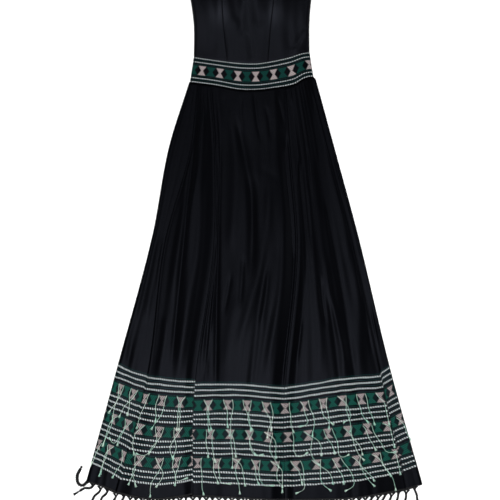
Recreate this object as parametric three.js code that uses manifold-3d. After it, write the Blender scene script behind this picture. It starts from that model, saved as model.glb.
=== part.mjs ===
// A long strapless dress laid flat on its back, with the front up and the neckline towards +Y.
// The cloth is black with a woven waistband, three motif rows above the hem and a knotted fringe.
// Millimetres, +Z up. The tables are drawn from a working origin at the centre front of the waist
// seam, and the finished group is moved so that the frame's origin lies under the centre of the dress.
import * as THREE from "three";
import { mergeVertices } from "three/addons/utils/BufferGeometryUtils.js";
import Module from "manifold-3d";

const wasm = await Module();
wasm.setup();

// ---- Driving sizes ----
const CLOTH = 1.2; // wall of the skirt and the bodice
const BAND_CLOTH = 1.6; // wall of the doubled waistband
const SEAM_GAP = 0.3; // parting between two pieces sewn together
const BACK_CLOTH = 1.2; // wall of everything that lies under the front
const LOW = BACK_CLOTH + SEAM_GAP + CLOTH / 2 + 0.4; // lowest middle of the front's wall
const SEAM_RISE = 0.1; // how much lower the front's outer edge comes at the side seams
const EDGE_ROLL = 9; // width over which the front turns down to a side seam
const EDGE_SWELL = 3; // how much the front swells beside a side seam

const FOLD_RADIUS = 1.1; // turn of a pressed pleat, to the middle of the wall
const FOLD_LEAD = 2.5; // flat cloth in front of a pleat's edge
const FOLD_STEPS = 3; // facets in each turn of a pleat

const MOTIF_PITCH = 50.7; // cloth from one pale motif to the next
const SKIRT_LENGTH = 1060;
const LEVELS = { waist: 0, seat: 0.17, hip: 0.4, band: 0.73, hem: 1 }; // shares of the skirt's length

// Waistband seams across the front, from the left side seam to the right one. The last row lies past
// the side seam, where the skirt's corner turns down.
const WAIST_SEAMS = [
  { across: 0.0, lowerX: -161, lowerY: 21, upperX: -151, upperY: 87, loft: 0 },
  { across: 0.2, lowerX: -97, lowerY: 12, upperX: -91, upperY: 77, loft: 6 },
  { across: 0.4, lowerX: -34, lowerY: 0, upperX: -32, upperY: 70, loft: 8 },
  { across: 0.55, lowerX: 14, lowerY: -1, upperX: 13, upperY: 69, loft: 8 },
  { across: 0.7, lowerX: 62, lowerY: 5, upperX: 58, upperY: 76, loft: 7 },
  { across: 0.85, lowerX: 110, lowerY: 15, upperX: 101, upperY: 86, loft: 6 },
  { across: 0.93, lowerX: 136, lowerY: 30, upperX: 128, upperY: 95, loft: 5 },
  { across: 1.0, lowerX: 159, lowerY: 35, upperX: 149, upperY: 99, loft: 0 },
  { across: 1.04, lowerX: 166, lowerY: 27, upperX: 156, upperY: 98, loft: 0 },
];

// The skirt front hangs in five panels between four pleats. A row is one thread line down the cloth:
// its place on the cloth in motif pitches, where it lies across at each level, and how far down it
// comes at the top of the woven border (bandY) and at the hem (hemY).
const PANELS = {
  corner: [
    { n: 0.25, waist: -163, seat: -217, hip: -261, band: -351, hem: -431, bandY: -722, hemY: -1017 },
    { n: 1.4, waist: -151, seat: -191, hip: -245, band: -316, hem: -398, bandY: -735, hemY: -1024 },
    { n: 2.55, waist: -140, seat: -162, hip: -227, band: -272, hem: -352, bandY: -748, hemY: -1042 },
  ],
  left: [
    { n: 2.95, waist: -140, seat: -162, hip: -227, band: -272, hem: -350, bandY: -751, hemY: -1045 },
    { n: 4.3, waist: -123, seat: -130, hip: -173, band: -212, hem: -255, bandY: -757, hemY: -1060 },
    { n: 5.62, waist: -110, seat: -98, hip: -101, band: -149, hem: -154, bandY: -762, hemY: -1050 },
  ],
  centre: [
    { n: 6.27, waist: -110, seat: -98, hip: -101, band: -149, hem: -154, bandY: -770, hemY: -1053 },
    { n: 7.4, waist: -84, seat: -74, hip: -78, band: -93, hem: -99, bandY: -768, hemY: -1054 },
    { n: 8.55, waist: -10, seat: -4, hip: -1, band: -33, hem: -39, bandY: -767, hemY: -1056 },
    { n: 10.95, waist: 87, seat: 101, hip: 118, band: 86, hem: 83, bandY: -778, hemY: -1063 },
  ],
  right: [
    { n: 11.03, waist: 87, seat: 101, hip: 118, band: 86, hem: 83, bandY: -778, hemY: -1063 },
    { n: 13.95, waist: 119, seat: 148, hip: 178, band: 224, hem: 260, bandY: -757, hemY: -1057 },
    { n: 16.2, waist: 150, seat: 196, hip: 260, band: 335, hem: 400, bandY: -749, hemY: -1036 },
  ],
  side: [
    { n: 16.65, waist: 150, seat: 196, hip: 260, band: 335, hem: 400, bandY: -741, hemY: -1035 },
    { n: 17.35, waist: 166, seat: 214, hip: 278, band: 360, hem: 443, bandY: -727, hemY: -1024 },
  ],
};

// How high each panel bellies between its two pleats, how far in from its left and right sides it
// takes to rise to that, and how many columns of points draw it.
const BELLIES = {
  corner: { waist: 3, seat: 4, hip: 6, band: 8, hem: 10, left: 50, right: 70, columns: 8 },
  left: { waist: 3, seat: 4, hip: 5, band: 5, hem: 6, left: 40, right: 24, columns: 12 },
  centre: { waist: 3, seat: 6, hip: 8, band: 8, hem: 8, left: 110, right: 34, columns: 15 },
  right: { waist: 3, seat: 6, hip: 8, band: 9, hem: 8, left: 24, right: 120, columns: 13 },
  side: { waist: 1, seat: 2, hip: 3, band: 5, hem: 6, left: 40, right: 60, columns: 4 },
};
const PLEAT_EASE = 6; // how far beside a pleat the cloth follows the pleat's own height

// The pleats, in order from the left. `upper` is the side that lies on top. `depth` is the length of
// the hidden return and `turn` is how far round the cloth goes, in degrees: 180 is pressed flat.
const PLEATS = [
  { upper: "right", waist: [2, 20], seat: [2, 20], hip: [3, 25], band: [4, 35], hem: [6, 50] },
  { upper: "right", waist: [16, 180], seat: [16, 180], hip: [16, 180], band: [16, 180], hem: [15, 180] },
  { upper: "left", waist: [15, 180], seat: [14, 180], hip: [12, 180], band: [4, 90], hem: [3, 60] },
  { upper: "left", waist: [2, 20], seat: [2, 20], hip: [2, 20], band: [5, 60], hem: [12, 180] },
];

// The largest soft troughs in the skirt front: their two ends, how far the middle bows to +X, how
// deep they are and half their width. One with a depth below zero is a ridge.
const CREASES = [
  { x0: -135, y0: -18, x1: -206, y1: -680, bow: -2, depth: 2.4, half: 6 },
  { x0: -135, y0: -36, x1: -192, y1: -728, bow: 4, depth: -4, half: 12 },
  { x0: -322, y0: -740, x1: -372, y1: -1030, bow: 0, depth: 6, half: 14 },
  { x0: -47, y0: -60, x1: -4, y1: -480, bow: 22, depth: 4, half: 8 },
  { x0: -86, y0: -117, x1: -94, y1: -760, bow: 0, depth: 3, half: 6 },
  { x0: 42, y0: -400, x1: -25, y1: -1053, bow: -8, depth: 3, half: 9 },
  { x0: 52, y0: -535, x1: -12, y1: -1053, bow: -8, depth: 2.4, half: 8 },
  { x0: 94, y0: -20, x1: 121, y1: -190, bow: 0, depth: 5, half: 7 },
  { x0: 72, y0: -80, x1: 70, y1: -780, bow: 34, depth: 5, half: 14 },
  { x0: 151, y0: 20, x1: 312, y1: -1045, bow: 0, depth: 4, half: 8 },
  { x0: 196, y0: -500, x1: 262, y1: -1050, bow: 0, depth: 2.5, half: 9 },
];

// Bodice widths from the waist seam up: the side seams, and the two seams shaped over the bust.
const TOP_EDGE = { side: 288, middle: 296, half: 170 }; // height and half width of the neckline
const BODICE_WIDTHS = [
  { up: 0.0, left: -151, seamLeft: -64, seamRight: 41, right: 149 },
  { up: 0.4, left: -151, seamLeft: -74, seamRight: 48, right: 149 },
  { up: 0.72, left: -159, seamLeft: -78, seamRight: 56, right: 154 },
  { up: 1.0, left: -171, seamLeft: -80, seamRight: 62, right: 164 },
];
const BACK_NECK_DROP = 22; // how much lower the back neckline is cut
const BUST = { middle: -8, x: 70, y: 240, across: 52, along: 56, height: 15 };
const BODICE_LOFT = 7;
const BODICE_CREASES = [
  { x0: -64, y0: 310, x1: -39, y1: 180, bow: 0, depth: 3.5, half: 9 },
  { x0: 4, y0: 310, x1: 22, y1: 170, bow: 0, depth: 4, half: 11 },
  { x0: -20, y0: 310, x1: -29, y1: 150, bow: 0, depth: 2, half: 8 },
  { x0: 146, y0: 165, x1: 108, y1: 108, bow: 0, depth: 1.5, half: 9 },
];

// Fringe: knotted cords at an even pitch along the hem, the back's between the front's.
const FRINGE = { pitch: 34.8, length: 60, strip: 3, root: 2.8, cord: 2, knotAt: 0.62, knot: 3, brush: 2.6 };
const FRINGE_SIDES = 3;
const FRINGE_FLOOR = 0.4; // clear of the surface it lies on
const STRIP_THICK = 0.96; // the woven strip that the cords hang from
const BACK_STRIP_Z = 0.8;
const OVER_BACK_STRIP = BACK_STRIP_Z + STRIP_THICK / 2 + 0.4; // the front's cords start clear of this
const FRINGE_SPREAD = [
  { across: 0.0, lean: -62 },
  { across: 0.05, lean: -28 },
  { across: 0.2, lean: -7 },
  { across: 0.5, lean: 3 },
  { across: 0.78, lean: -8 },
  { across: 0.9, lean: -26 },
  { across: 0.96, lean: -8 },
  { across: 1.0, lean: 14 },
]; // degrees from straight down, positive to +X
const CORNER_CORD = [
  { x: 0, y: 0.8 },
  { x: -13, y: -9 },
  { x: -25, y: -3 },
  { x: -27, y: 17 },
  { x: -19, y: 34 },
]; // the cord at the left corner curls up beside the skirt, from its root on the strip

// Loose yarn ends, two from the top corners of each pale motif, on a woven line along each row.
const TAIL_ROWS = [
  { name: "upper", down: 0.768, phase: 0 },
  { name: "middle", down: 0.842, phase: 0.15 },
  { name: "lower", down: 0.911, phase: 0.5 },
];
const TAIL = { corner: 0.22, margin: 0.14, length: 60, radius: 0.6, lift: 1.6, steps: 3, sides: 3 };
const TAIL_STRIP = { width: 2.4, thick: 0.7, lift: 1.1 };
const TAIL_CLEAR = 0.05; // motif pitches that an end stays inside its strip

const COLOURS = { cloth: 0x0d0d12, band: 0x16201f, yarn: 0xa9c4b8, fringe: 0x0b0b0e };

const { lerp, clamp, degToRad, smoothstep } = THREE.MathUtils;

// ---- Curves through the tables ----

// The named column of a table at t, on a smooth curve through its rows.
function along(table, at, column, t) {
  const last = table.length - 1;
  let i = 0;
  while (i < last - 1 && t > table[i + 1][at]) i++;
  const [a, b] = [table[i], table[i + 1]];
  const span = b[at] - a[at];
  const s = clamp((t - a[at]) / span, 0, 1);
  const before = table[Math.max(i - 1, 0)];
  const after = table[Math.min(i + 2, last)];
  const rate = (p, q) => (span * (q[column] - p[column])) / (q[at] - p[at]);
  return hermite(a[column], b[column], rate(before, b), rate(a, after), s);
}

function hermite(a, b, slopeA, slopeB, s) {
  const [s2, s3] = [s * s, s * s * s];
  const start = a * (2 * s3 - 3 * s2 + 1) + slopeA * (s3 - 2 * s2 + s);
  return start + b * (3 * s2 - 2 * s3) + slopeB * (s3 - s2);
}

// A value given at each level of the skirt, at any share of its length.
function atLevel(row, down) {
  const table = Object.entries(LEVELS).map(([level, share]) => ({ share, value: row[level] }));
  return along(table, "share", "value", down);
}

const lowerSeamY = (x) => along(WAIST_SEAMS, "lowerX", "lowerY", x);
const upperSeamY = (x) => along(WAIST_SEAMS, "upperX", "upperY", x);

// ---- Soft shape ----

// How deep the troughs are at a point. Each fades out at its two ends.
function troughs(creases, x, y) {
  return creases.reduce((sum, c) => {
    const s = (y - c.y0) / (c.y1 - c.y0);
    const middle = lerp(c.x0, c.x1, s) + c.bow * 4 * s * (1 - s);
    const fade = smoothstep(s, 0, 0.15) * (1 - smoothstep(s, 0.9, 1.1));
    return sum + c.depth * fade * Math.exp(-(((x - middle) / c.half) ** 2));
  }, 0);
}

// Keeps a height above zero without a corner.
const soften = (height) => (height + Math.sqrt(height * height + 1)) / 2;

// Turns a height down to the seam beside a side edge, `inside` millimetres away.
function rolled(height, inside, seam) {
  const s = clamp(inside / EDGE_ROLL, 0, 1);
  return lerp(seam, height, Math.sqrt(1 - (1 - s) ** 2));
}

// ---- Skirt front ----

// Points across a pleat that climbs to the right, as [x, z], from the cloth that goes under to the
// cloth on top, whose fold shows at x = edge.
function risingPleat(edge, [depth, turn]) {
  const angle = degToRad(turn);
  const under = Math.max(1, FOLD_LEAD + FOLD_RADIUS - depth * Math.cos(angle));
  const advance = under + 2 * FOLD_RADIUS * Math.sin(angle) + depth * Math.cos(angle);
  let [x, z, heading] = [edge + FOLD_RADIUS - advance, LOW, 0];
  const points = [[x, z]];
  const forward = (length) => {
    x += length * Math.cos(heading);
    z += length * Math.sin(heading);
    points.push([x, z]);
  };
  const bend = (total) => {
    const step = total / FOLD_STEPS;
    const chord = 2 * FOLD_RADIUS * Math.sin(Math.abs(step) / 2);
    for (let i = 0; i < FOLD_STEPS; i++) {
      heading += step / 2;
      forward(chord);
      heading += step / 2;
    }
  };
  forward(under);
  bend(angle);
  forward(depth);
  bend(-angle);
  return points;
}

function pleatPoints(pleat, edge, down) {
  const [lower, upper] = [0, 1].map((i) => {
    const levels = Object.fromEntries(Object.keys(LEVELS).map((level) => [level, pleat[level][i]]));
    return atLevel(levels, clamp(down, 0, 1));
  });
  const shape = [Math.max(lower, 1), clamp(upper, 20, 180)];
  if (pleat.upper === "right") return risingPleat(edge, shape);
  return risingPleat(-edge, shape)
    .map(([x, z]) => [-x, z])
    .reverse();
}

const PANEL_NAMES = Object.keys(PANELS);

// Where a panel's thread line n lies at a share of the skirt's length.
function threadLine(name, n, down) {
  const rows = PANELS[name];
  const column = (key) => along(rows, "n", key, n);
  const across = Object.fromEntries(Object.keys(LEVELS).map((level) => [level, column(level)]));
  const [top, band, hem] = [lowerSeamY(across.waist) - SEAM_GAP, column("bandY"), column("hemY")];
  const upper = (level) => lerp(top, band, LEVELS[level] / LEVELS.band);
  const heights = { waist: top, seat: upper("seat"), hip: upper("hip"), band, hem };
  return [atLevel(across, down), atLevel(heights, down)];
}

// One panel's place between the pleats beside it, at a share of the skirt's length.
function panelEnds(index, down) {
  const rows = PANELS[PANEL_NAMES[index]];
  const start = threadLine(PANEL_NAMES[index], rows[0].n, down)[0];
  const end = threadLine(PANEL_NAMES[index], rows.at(-1).n, down)[0];
  const before = PLEATS[index - 1] && pleatPoints(PLEATS[index - 1], start, down);
  const after = PLEATS[index] && pleatPoints(PLEATS[index], end, down);
  return {
    left: before ? before.at(-1) : [start, LOW],
    right: after ? after[0] : [end, LOW],
    shiftLeft: before ? before.at(-1)[0] - start : 0,
    shiftRight: after ? after[0][0] - end : 0,
  };
}

// A point in the middle of the skirt front's wall: `share` runs from 0 to 1 across one panel.
function frontPoint(index, share, down) {
  const name = PANEL_NAMES[index];
  const rows = PANELS[name];
  const inside = clamp(down, 0, 1);
  const ends = panelEnds(index, down);
  const n = lerp(rows[0].n, rows.at(-1).n, share);
  const [lineX, y] = threadLine(name, n, down);
  const x = lineX + lerp(ends.shiftLeft, ends.shiftRight, share);
  const belly = BELLIES[name];
  const [fromLeft, fromRight] = [x - ends.left[0], ends.right[0] - x];
  const rise = smoothstep(fromLeft, 0, belly.left) * smoothstep(fromRight, 0, belly.right);
  const crown = atLevel(belly, inside) * rise;
  const free = smoothstep(fromLeft, 0, PLEAT_EASE) * smoothstep(fromRight, 0, PLEAT_EASE);
  const level = lerp(ends.left[1], ends.right[1], smoothstep(share, 0, 1)) - LOW;
  const raised = level + crown - free * troughs(CREASES, x, y);
  let z = LOW + lerp(level, soften(raised), free);
  const seam = LOW - SEAM_RISE;
  if (index === 0) z = rolled(z + EDGE_SWELL * (1 - smoothstep(share, 0.1, 0.4)), fromLeft, seam);
  if (index === PANEL_NAMES.length - 1) {
    z = rolled(z + EDGE_SWELL * smoothstep(share, 0.6, 0.9), fromRight, seam);
  }
  return new THREE.Vector3(x, y, z);
}

// Shares across a panel, closer together beside a side seam.
function columnShares(index, columns) {
  return Array.from({ length: columns + 1 }, (_, i) => {
    const s = i / columns;
    if (index === 0) return s ** 1.7;
    if (index === PANEL_NAMES.length - 1) return 1 - (1 - s) ** 1.7;
    return s;
  });
}

// The points across the skirt front as its panels and pleats give them.
function pleatedSection(down) {
  const points = [];
  PANEL_NAMES.forEach((name, index) => {
    const panel = columnShares(index, BELLIES[name].columns).map((s) => frontPoint(index, s, down));
    points.push(...panel);
    const pleat = PLEATS[index];
    if (!pleat) return;
    const from = panel.at(-1);
    const to = frontPoint(index + 1, 0, down);
    const edge = threadLine(name, PANELS[name].at(-1).n, down)[0];
    const fold = pleatPoints(pleat, edge, down).slice(1, -1);
    fold.forEach(([x, z], i) => {
      points.push(new THREE.Vector3(x, lerp(from.y, to.y, (i + 1) / (fold.length + 1)), z));
    });
  });
  return points;
}

// The same points with the top edge brought to the waist seam's line and height.
function frontSection(down) {
  const top = pleatedSection(0);
  const gathered = 1 - smoothstep(down, 0, 0.16);
  return pleatedSection(down).map((point, i) => {
    const seamY = lowerSeamY(top[i].x) - SEAM_GAP;
    point.y += (seamY - top[i].y) * (1 - smoothstep(down, 0, LEVELS.band));
    point.z += along(WAIST_SEAMS, "lowerX", "loft", clamp(point.x, SEAM_ENDS[0], SEAM_ENDS[1])) * gathered;
    return point;
  });
}

const SEAM_ENDS = [WAIST_SEAMS[0].lowerX, WAIST_SEAMS.at(-1).lowerX];
const SKIRT_ROWS = [
  0, 0.02, 0.06, 0.12, 0.19, 0.27, 0.35, 0.43, 0.51, 0.59, 0.67, 0.74, 0.8, 0.86, 0.91, 0.96, 1,
];

// ---- Walls ----

// A closed wall whose middle runs through a grid of points, rows by columns, thick to both sides.
function wallGeometry(grid, thick) {
  const [rows, columns] = [grid.length, grid[0].length];
  const at = (r, c) => grid[clamp(r, 0, rows - 1)][clamp(c, 0, columns - 1)];
  const faces = [thick / 2, -thick / 2].map((offset) =>
    grid.map((line, r) =>
      line.map((point, c) => {
        const across = at(r, c + 1).clone().sub(at(r, c - 1));
        const downward = at(r + 1, c).clone().sub(at(r - 1, c));
        const normal = downward.cross(across).normalize();
        return point.clone().addScaledVector(normal, offset);
      }),
    ),
  );
  const positions = faces.flat(2).flatMap((p) => [p.x, p.y, p.z]);
  const id = (side, r, c) => (side * rows + r) * columns + c;
  const index = [];
  const quad = (a, b, c, d) => index.push(a, b, c, a, c, d);
  for (let r = 0; r < rows - 1; r++) {
    for (let c = 0; c < columns - 1; c++) {
      quad(id(0, r, c), id(0, r + 1, c), id(0, r + 1, c + 1), id(0, r, c + 1));
      quad(id(1, r, c), id(1, r, c + 1), id(1, r + 1, c + 1), id(1, r + 1, c));
    }
  }
  for (let c = 0; c < columns - 1; c++) {
    quad(id(0, 0, c), id(0, 0, c + 1), id(1, 0, c + 1), id(1, 0, c));
    const last = rows - 1;
    quad(id(0, last, c + 1), id(0, last, c), id(1, last, c), id(1, last, c + 1));
  }
  for (let r = 0; r < rows - 1; r++) {
    quad(id(0, r + 1, 0), id(0, r, 0), id(1, r, 0), id(1, r + 1, 0));
    const last = columns - 1;
    quad(id(0, r, last), id(0, r + 1, last), id(1, r + 1, last), id(1, r, last));
  }
  const geometry = new THREE.BufferGeometry();
  geometry.setAttribute("position", new THREE.Float32BufferAttribute(positions, 3));
  geometry.setIndex(index);
  return geometry;
}

// A flat wall on the surface. Each row gives its left and right ends and its y at a share between them.
function backGeometry(rows, columns) {
  const grid = rows.map((row) =>
    Array.from({ length: columns + 1 }, (_, i) => {
      const share = i / columns;
      return new THREE.Vector3(lerp(row.left, row.right, share), row.y(share), BACK_CLOTH / 2);
    }),
  );
  return wallGeometry(grid, BACK_CLOTH);
}

// ---- Skirt back ----
const BACK_INSET = 0.8; // how far the back's side edges stay inside the front's
const BACK_COLUMNS = 20;
const BACK_SAG = -16; // how far the back's waist seams bow below a straight line
const sagging = (sag, share) => sag * (1 - (2 * share - 1) ** 2);

const frontEdge = (down, side) => {
  const [name, end] = side < 0 ? ["corner", 0] : ["side", -1];
  return threadLine(name, PANELS[name].at(end).n, down);
};

// The back's hem, just below the front's all the way across.
const BACK_HEM = [
  { x: -433, y: -1017 },
  { x: -398, y: -1029 },
  { x: -350, y: -1050 },
  { x: -255, y: -1064 },
  { x: -154, y: -1058 },
  { x: -39, y: -1061 },
  { x: 83, y: -1067 },
  { x: 260, y: -1062 },
  { x: 400, y: -1042 },
  { x: 445, y: -1025 },
];

function skirtBackRow(down) {
  const [left, leftY] = frontEdge(down, -1);
  const [right, rightY] = frontEdge(down, 1);
  const [hemLeft, hemRight] = [BACK_HEM[0], BACK_HEM.at(-1)];
  const bow = (share) => {
    const hemY = along(BACK_HEM, "x", "y", lerp(hemLeft.x, hemRight.x, share));
    return lerp(sagging(BACK_SAG, share), hemY - lerp(hemLeft.y, hemRight.y, share), down);
  };
  return {
    left: left + BACK_INSET,
    right: right - BACK_INSET,
    y: (share) => lerp(leftY, rightY, share) + bow(share),
  };
}

function skirtBack() {
  const rows = SKIRT_ROWS.filter((_, i) => i % 2 === 0).map(skirtBackRow);
  return backGeometry(rows, BACK_COLUMNS);
}

// ---- Waistband ----
const BAND_COLUMNS = 42;
const BAND_LOW = BACK_CLOTH + SEAM_GAP + BAND_CLOTH / 2 + 0.2;
const BAND_RISE = 2 * FOLD_RADIUS; // the band lies at the middle height of the pleats sewn into it

function waistPoint(across, up) {
  const seam = (column) => along(WAIST_SEAMS, "across", column, across);
  return [lerp(seam("lowerX"), seam("upperX"), up), lerp(seam("lowerY"), seam("upperY"), up)];
}

function waistbandFront() {
  const ups = [0, 0.5, 1];
  const grid = ups.toReversed().map((up) =>
    Array.from({ length: BAND_COLUMNS + 1 }, (_, i) => {
      const across = lerp(i / BAND_COLUMNS, smoothstep(i / BAND_COLUMNS, 0, 1), 0.5);
      const [x, y] = waistPoint(across, up);
      const inside = Math.min(x - waistPoint(0, up)[0], waistPoint(1, up)[0] - x);
      const loft = BAND_RISE + Math.max(0, along(WAIST_SEAMS, "across", "loft", across));
      return new THREE.Vector3(x, y, rolled(BAND_LOW + loft, inside, BAND_LOW));
    }),
  );
  return wallGeometry(grid, BAND_CLOTH);
}

function waistbandBack() {
  const rows = [1, 0].map((up) => {
    const [left, leftY] = waistPoint(0, up);
    const [right, rightY] = waistPoint(1, up);
    return {
      left: left + BACK_INSET,
      right: right - BACK_INSET,
      y: (share) => lerp(leftY, rightY, share) + sagging(up ? BACK_SAG : BACK_SAG + SEAM_GAP, share),
    };
  });
  return backGeometry(rows, 10);
}

// ---- Bodice ----
const BODICE_ROWS = [0, 0.08, 0.2, 0.33, 0.46, 0.58, 0.7, 0.82, 0.92, 1];

function topEdgeY(x) {
  const { side, middle, half } = TOP_EDGE;
  return lerp(side, middle, Math.cos((Math.PI / 2) * clamp(x / half, -1, 1)));
}

function bodiceHeight(x, y, up) {
  const { left, right } = BODICE_WIDTHS[0];
  const foot = BAND_RISE + along(WAIST_SEAMS, "upperX", "loft", clamp(x, left, right));
  const cup = (side) => {
    const across = (x - BUST.middle - side * BUST.x) / BUST.across;
    return BUST.height * Math.exp(-(across ** 2) - ((y - BUST.y) / BUST.along) ** 2);
  };
  return lerp(foot, BODICE_LOFT, smoothstep(up, 0, 0.4)) + cup(-1) + cup(1);
}

function bodicePoint(x, up) {
  const left = along(BODICE_WIDTHS, "up", "left", up);
  const right = along(BODICE_WIDTHS, "up", "right", up);
  const y = lerp(upperSeamY(x) + SEAM_GAP, topEdgeY(x), up);
  const raised = bodiceHeight(x, y, up) - troughs(BODICE_CREASES, x, y);
  const inside = Math.min(x - left, right - x);
  return new THREE.Vector3(x, y, rolled(LOW + soften(raised), inside, LOW - SEAM_RISE));
}

// One front panel between two of the named columns of BODICE_WIDTHS.
function bodiceFront(from, to, columns) {
  const grid = BODICE_ROWS.toReversed().map((up) => {
    const start = along(BODICE_WIDTHS, "up", from, up) + (from === "left" ? 0 : SEAM_GAP / 2);
    const end = along(BODICE_WIDTHS, "up", to, up) - (to === "right" ? 0 : SEAM_GAP / 2);
    return Array.from({ length: columns + 1 }, (_, i) => {
      let s = i / columns;
      if (from === "left") s = s ** 1.6;
      if (to === "right") s = 1 - (1 - s) ** 1.6;
      return bodicePoint(lerp(start, end, s), up);
    });
  });
  return wallGeometry(grid, CLOTH);
}

function bodiceBack() {
  const [leftFoot, rightFoot] = [BODICE_WIDTHS[0].left, BODICE_WIDTHS[0].right];
  const seamY = (share) => lerp(upperSeamY(leftFoot), upperSeamY(rightFoot), share);
  const footY = (share) => seamY(share) + SEAM_GAP + sagging(BACK_SAG, share);
  const neckY = (share) => TOP_EDGE.side - BACK_NECK_DROP * (1 - (2 * share - 1) ** 4);
  const rows = BODICE_ROWS.filter((_, i) => i % 3 === 0).toReversed().map((up) => {
    const left = along(BODICE_WIDTHS, "up", "left", up) + BACK_INSET;
    const right = along(BODICE_WIDTHS, "up", "right", up) - BACK_INSET;
    return { left, right, y: (share) => lerp(footY(share), neckY(share), up) };
  });
  return backGeometry(rows, 8);
}

// ---- Joining ----

function solidOf(geometry) {
  const plain = geometry.clone();
  ["normal", "uv"].forEach((name) => plain.deleteAttribute(name));
  const merged = mergeVertices(plain, 1e-4);
  return new wasm.Manifold(
    new wasm.Mesh({
      numProp: 3,
      vertProperties: merged.attributes.position.array,
      triVerts: new Uint32Array(merged.index.array),
    }),
  );
}

function joined(base, pieces) {
  const whole = pieces.reduce((sum, piece) => sum.add(solidOf(piece)), solidOf(base));
  const mesh = whole.getMesh();
  const geometry = new THREE.BufferGeometry();
  geometry.setAttribute("position", new THREE.BufferAttribute(mesh.vertProperties, 3));
  geometry.setIndex(new THREE.BufferAttribute(mesh.triVerts, 1));
  return geometry;
}

// A closed strand through points, each with its own radius.
function strandGeometry(points, radii, sides) {
  const positions = [];
  const index = [];
  points.forEach((point, i) => {
    const ahead = points[Math.min(i + 1, points.length - 1)].clone();
    const heading = ahead.sub(points[Math.max(i - 1, 0)]).normalize();
    const across = new THREE.Vector3(0, 0, 1).cross(heading).normalize();
    const upward = heading.clone().cross(across);
    for (let k = 0; k < sides; k++) {
      const angle = (2 * Math.PI * (k + 0.5)) / sides;
      const corner = point
        .clone()
        .addScaledVector(across, radii[i] * Math.cos(angle))
        .addScaledVector(upward, radii[i] * Math.sin(angle));
      positions.push(corner.x, corner.y, corner.z);
    }
  });
  for (let i = 0; i < points.length - 1; i++) {
    for (let k = 0; k < sides; k++) {
      const [a, b] = [i * sides + k, i * sides + ((k + 1) % sides)];
      index.push(a, b, b + sides, a, b + sides, a + sides);
    }
  }
  const last = (points.length - 1) * sides;
  for (let k = 1; k < sides - 1; k++) {
    index.push(0, k + 1, k, last, last + k, last + k + 1);
  }
  const geometry = new THREE.BufferGeometry();
  geometry.setAttribute("position", new THREE.Float32BufferAttribute(positions, 3));
  geometry.setIndex(index);
  return geometry;
}

// ---- Fringe ----

// A smooth, repeatable unevenness between -1 and 1 for the i-th of a row of like things.
const uneven = (i, salt) => Math.sin(i * 2.399 + salt * 1.7) * Math.cos(i * 0.713 + salt);

// One knotted cord from a root on the hem, laid on the surface.
function fringeCord(root, across, i) {
  const lean = degToRad(along(FRINGE_SPREAD, "across", "lean", across) + 2 * uneven(i, 1));
  const length = FRINGE.length * (1 + 0.08 * uneven(i, 2));
  const stations = [
    { at: -0.015, radius: FRINGE.root },
    { at: 0.13, radius: FRINGE.cord },
    { at: FRINGE.knotAt - 0.1, radius: FRINGE.cord },
    { at: FRINGE.knotAt, radius: FRINGE.knot },
    { at: 1, radius: FRINGE.brush },
  ];
  const points = stations.map(({ at, radius }) => {
    const reach = at * length;
    const bend = lean * Math.min(1, Math.max(0, at) * 2.5);
    const rest = FRINGE_FLOOR + radius;
    const z = lerp(root.z, rest, smoothstep(at, 0, FRINGE.knotAt - 0.1));
    const [x, y] = [root.x + reach * Math.sin(bend), root.y - reach * Math.cos(bend)];
    return new THREE.Vector3(x, y, Math.max(z, rest));
  });
  return strandGeometry(points, stations.map((s) => s.radius), FRINGE_SIDES);
}

// The cord that curls up beside the skirt's left corner.
function cornerCord(root) {
  const rest = FRINGE_FLOOR + FRINGE.cord;
  const points = CORNER_CORD.map(({ x, y }, i) => {
    return new THREE.Vector3(root.x + x, root.y + y, i === 0 ? root.z : rest);
  });
  return strandGeometry(points, points.map(() => FRINGE.cord), FRINGE_SIDES);
}

// The point a given way along a line of points, by its x.
function pointAtX(line, x) {
  const i = clamp(line.findIndex((p) => p.x >= x), 1, line.length - 1);
  const s = (x - line[i - 1].x) / (line[i].x - line[i - 1].x);
  return line[i - 1].clone().lerp(line[i], clamp(s, 0, 1));
}

// Roots of the front's cords, evenly spaced along each panel's part of the hem.
function frontRoots() {
  return PANEL_NAMES.flatMap((name, index) => {
    const line = columnShares(index, BELLIES[name].columns).map((s) => frontPoint(index, s, 1));
    const [from, to] = [line[0].x, line.at(-1).x];
    const count = Math.max(1, Math.round((to - from) / FRINGE.pitch));
    return Array.from({ length: count }, (_, i) => pointAtX(line, lerp(from, to, (i + 0.5) / count)));
  });
}

function fringeFront() {
  const stripOut = (distance) =>
    frontSection(1).map((point) => point.clone().setY(point.y - distance));
  const strip = wallGeometry([stripOut(SEAM_GAP), stripOut(SEAM_GAP + FRINGE.strip)], STRIP_THICK);
  const roots = frontRoots();
  const [left, right] = [roots[0].x, roots.at(-1).x];
  const below = (root) => {
    const z = Math.max(root.z, OVER_BACK_STRIP + FRINGE.root);
    return new THREE.Vector3(root.x, root.y - SEAM_GAP - FRINGE.strip, z);
  };
  const cords = roots.map((root, i) => fringeCord(below(root), (root.x - left) / (right - left), i));
  const corner = pointAtX(frontSection(1), PANELS.corner[0].hem + FRINGE.strip);
  return joined(strip, [cornerCord(below(corner)), ...cords]);
}

function hemBackPoint(share) {
  const row = skirtBackRow(1);
  return [lerp(row.left, row.right, share), row.y(share)];
}

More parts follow.
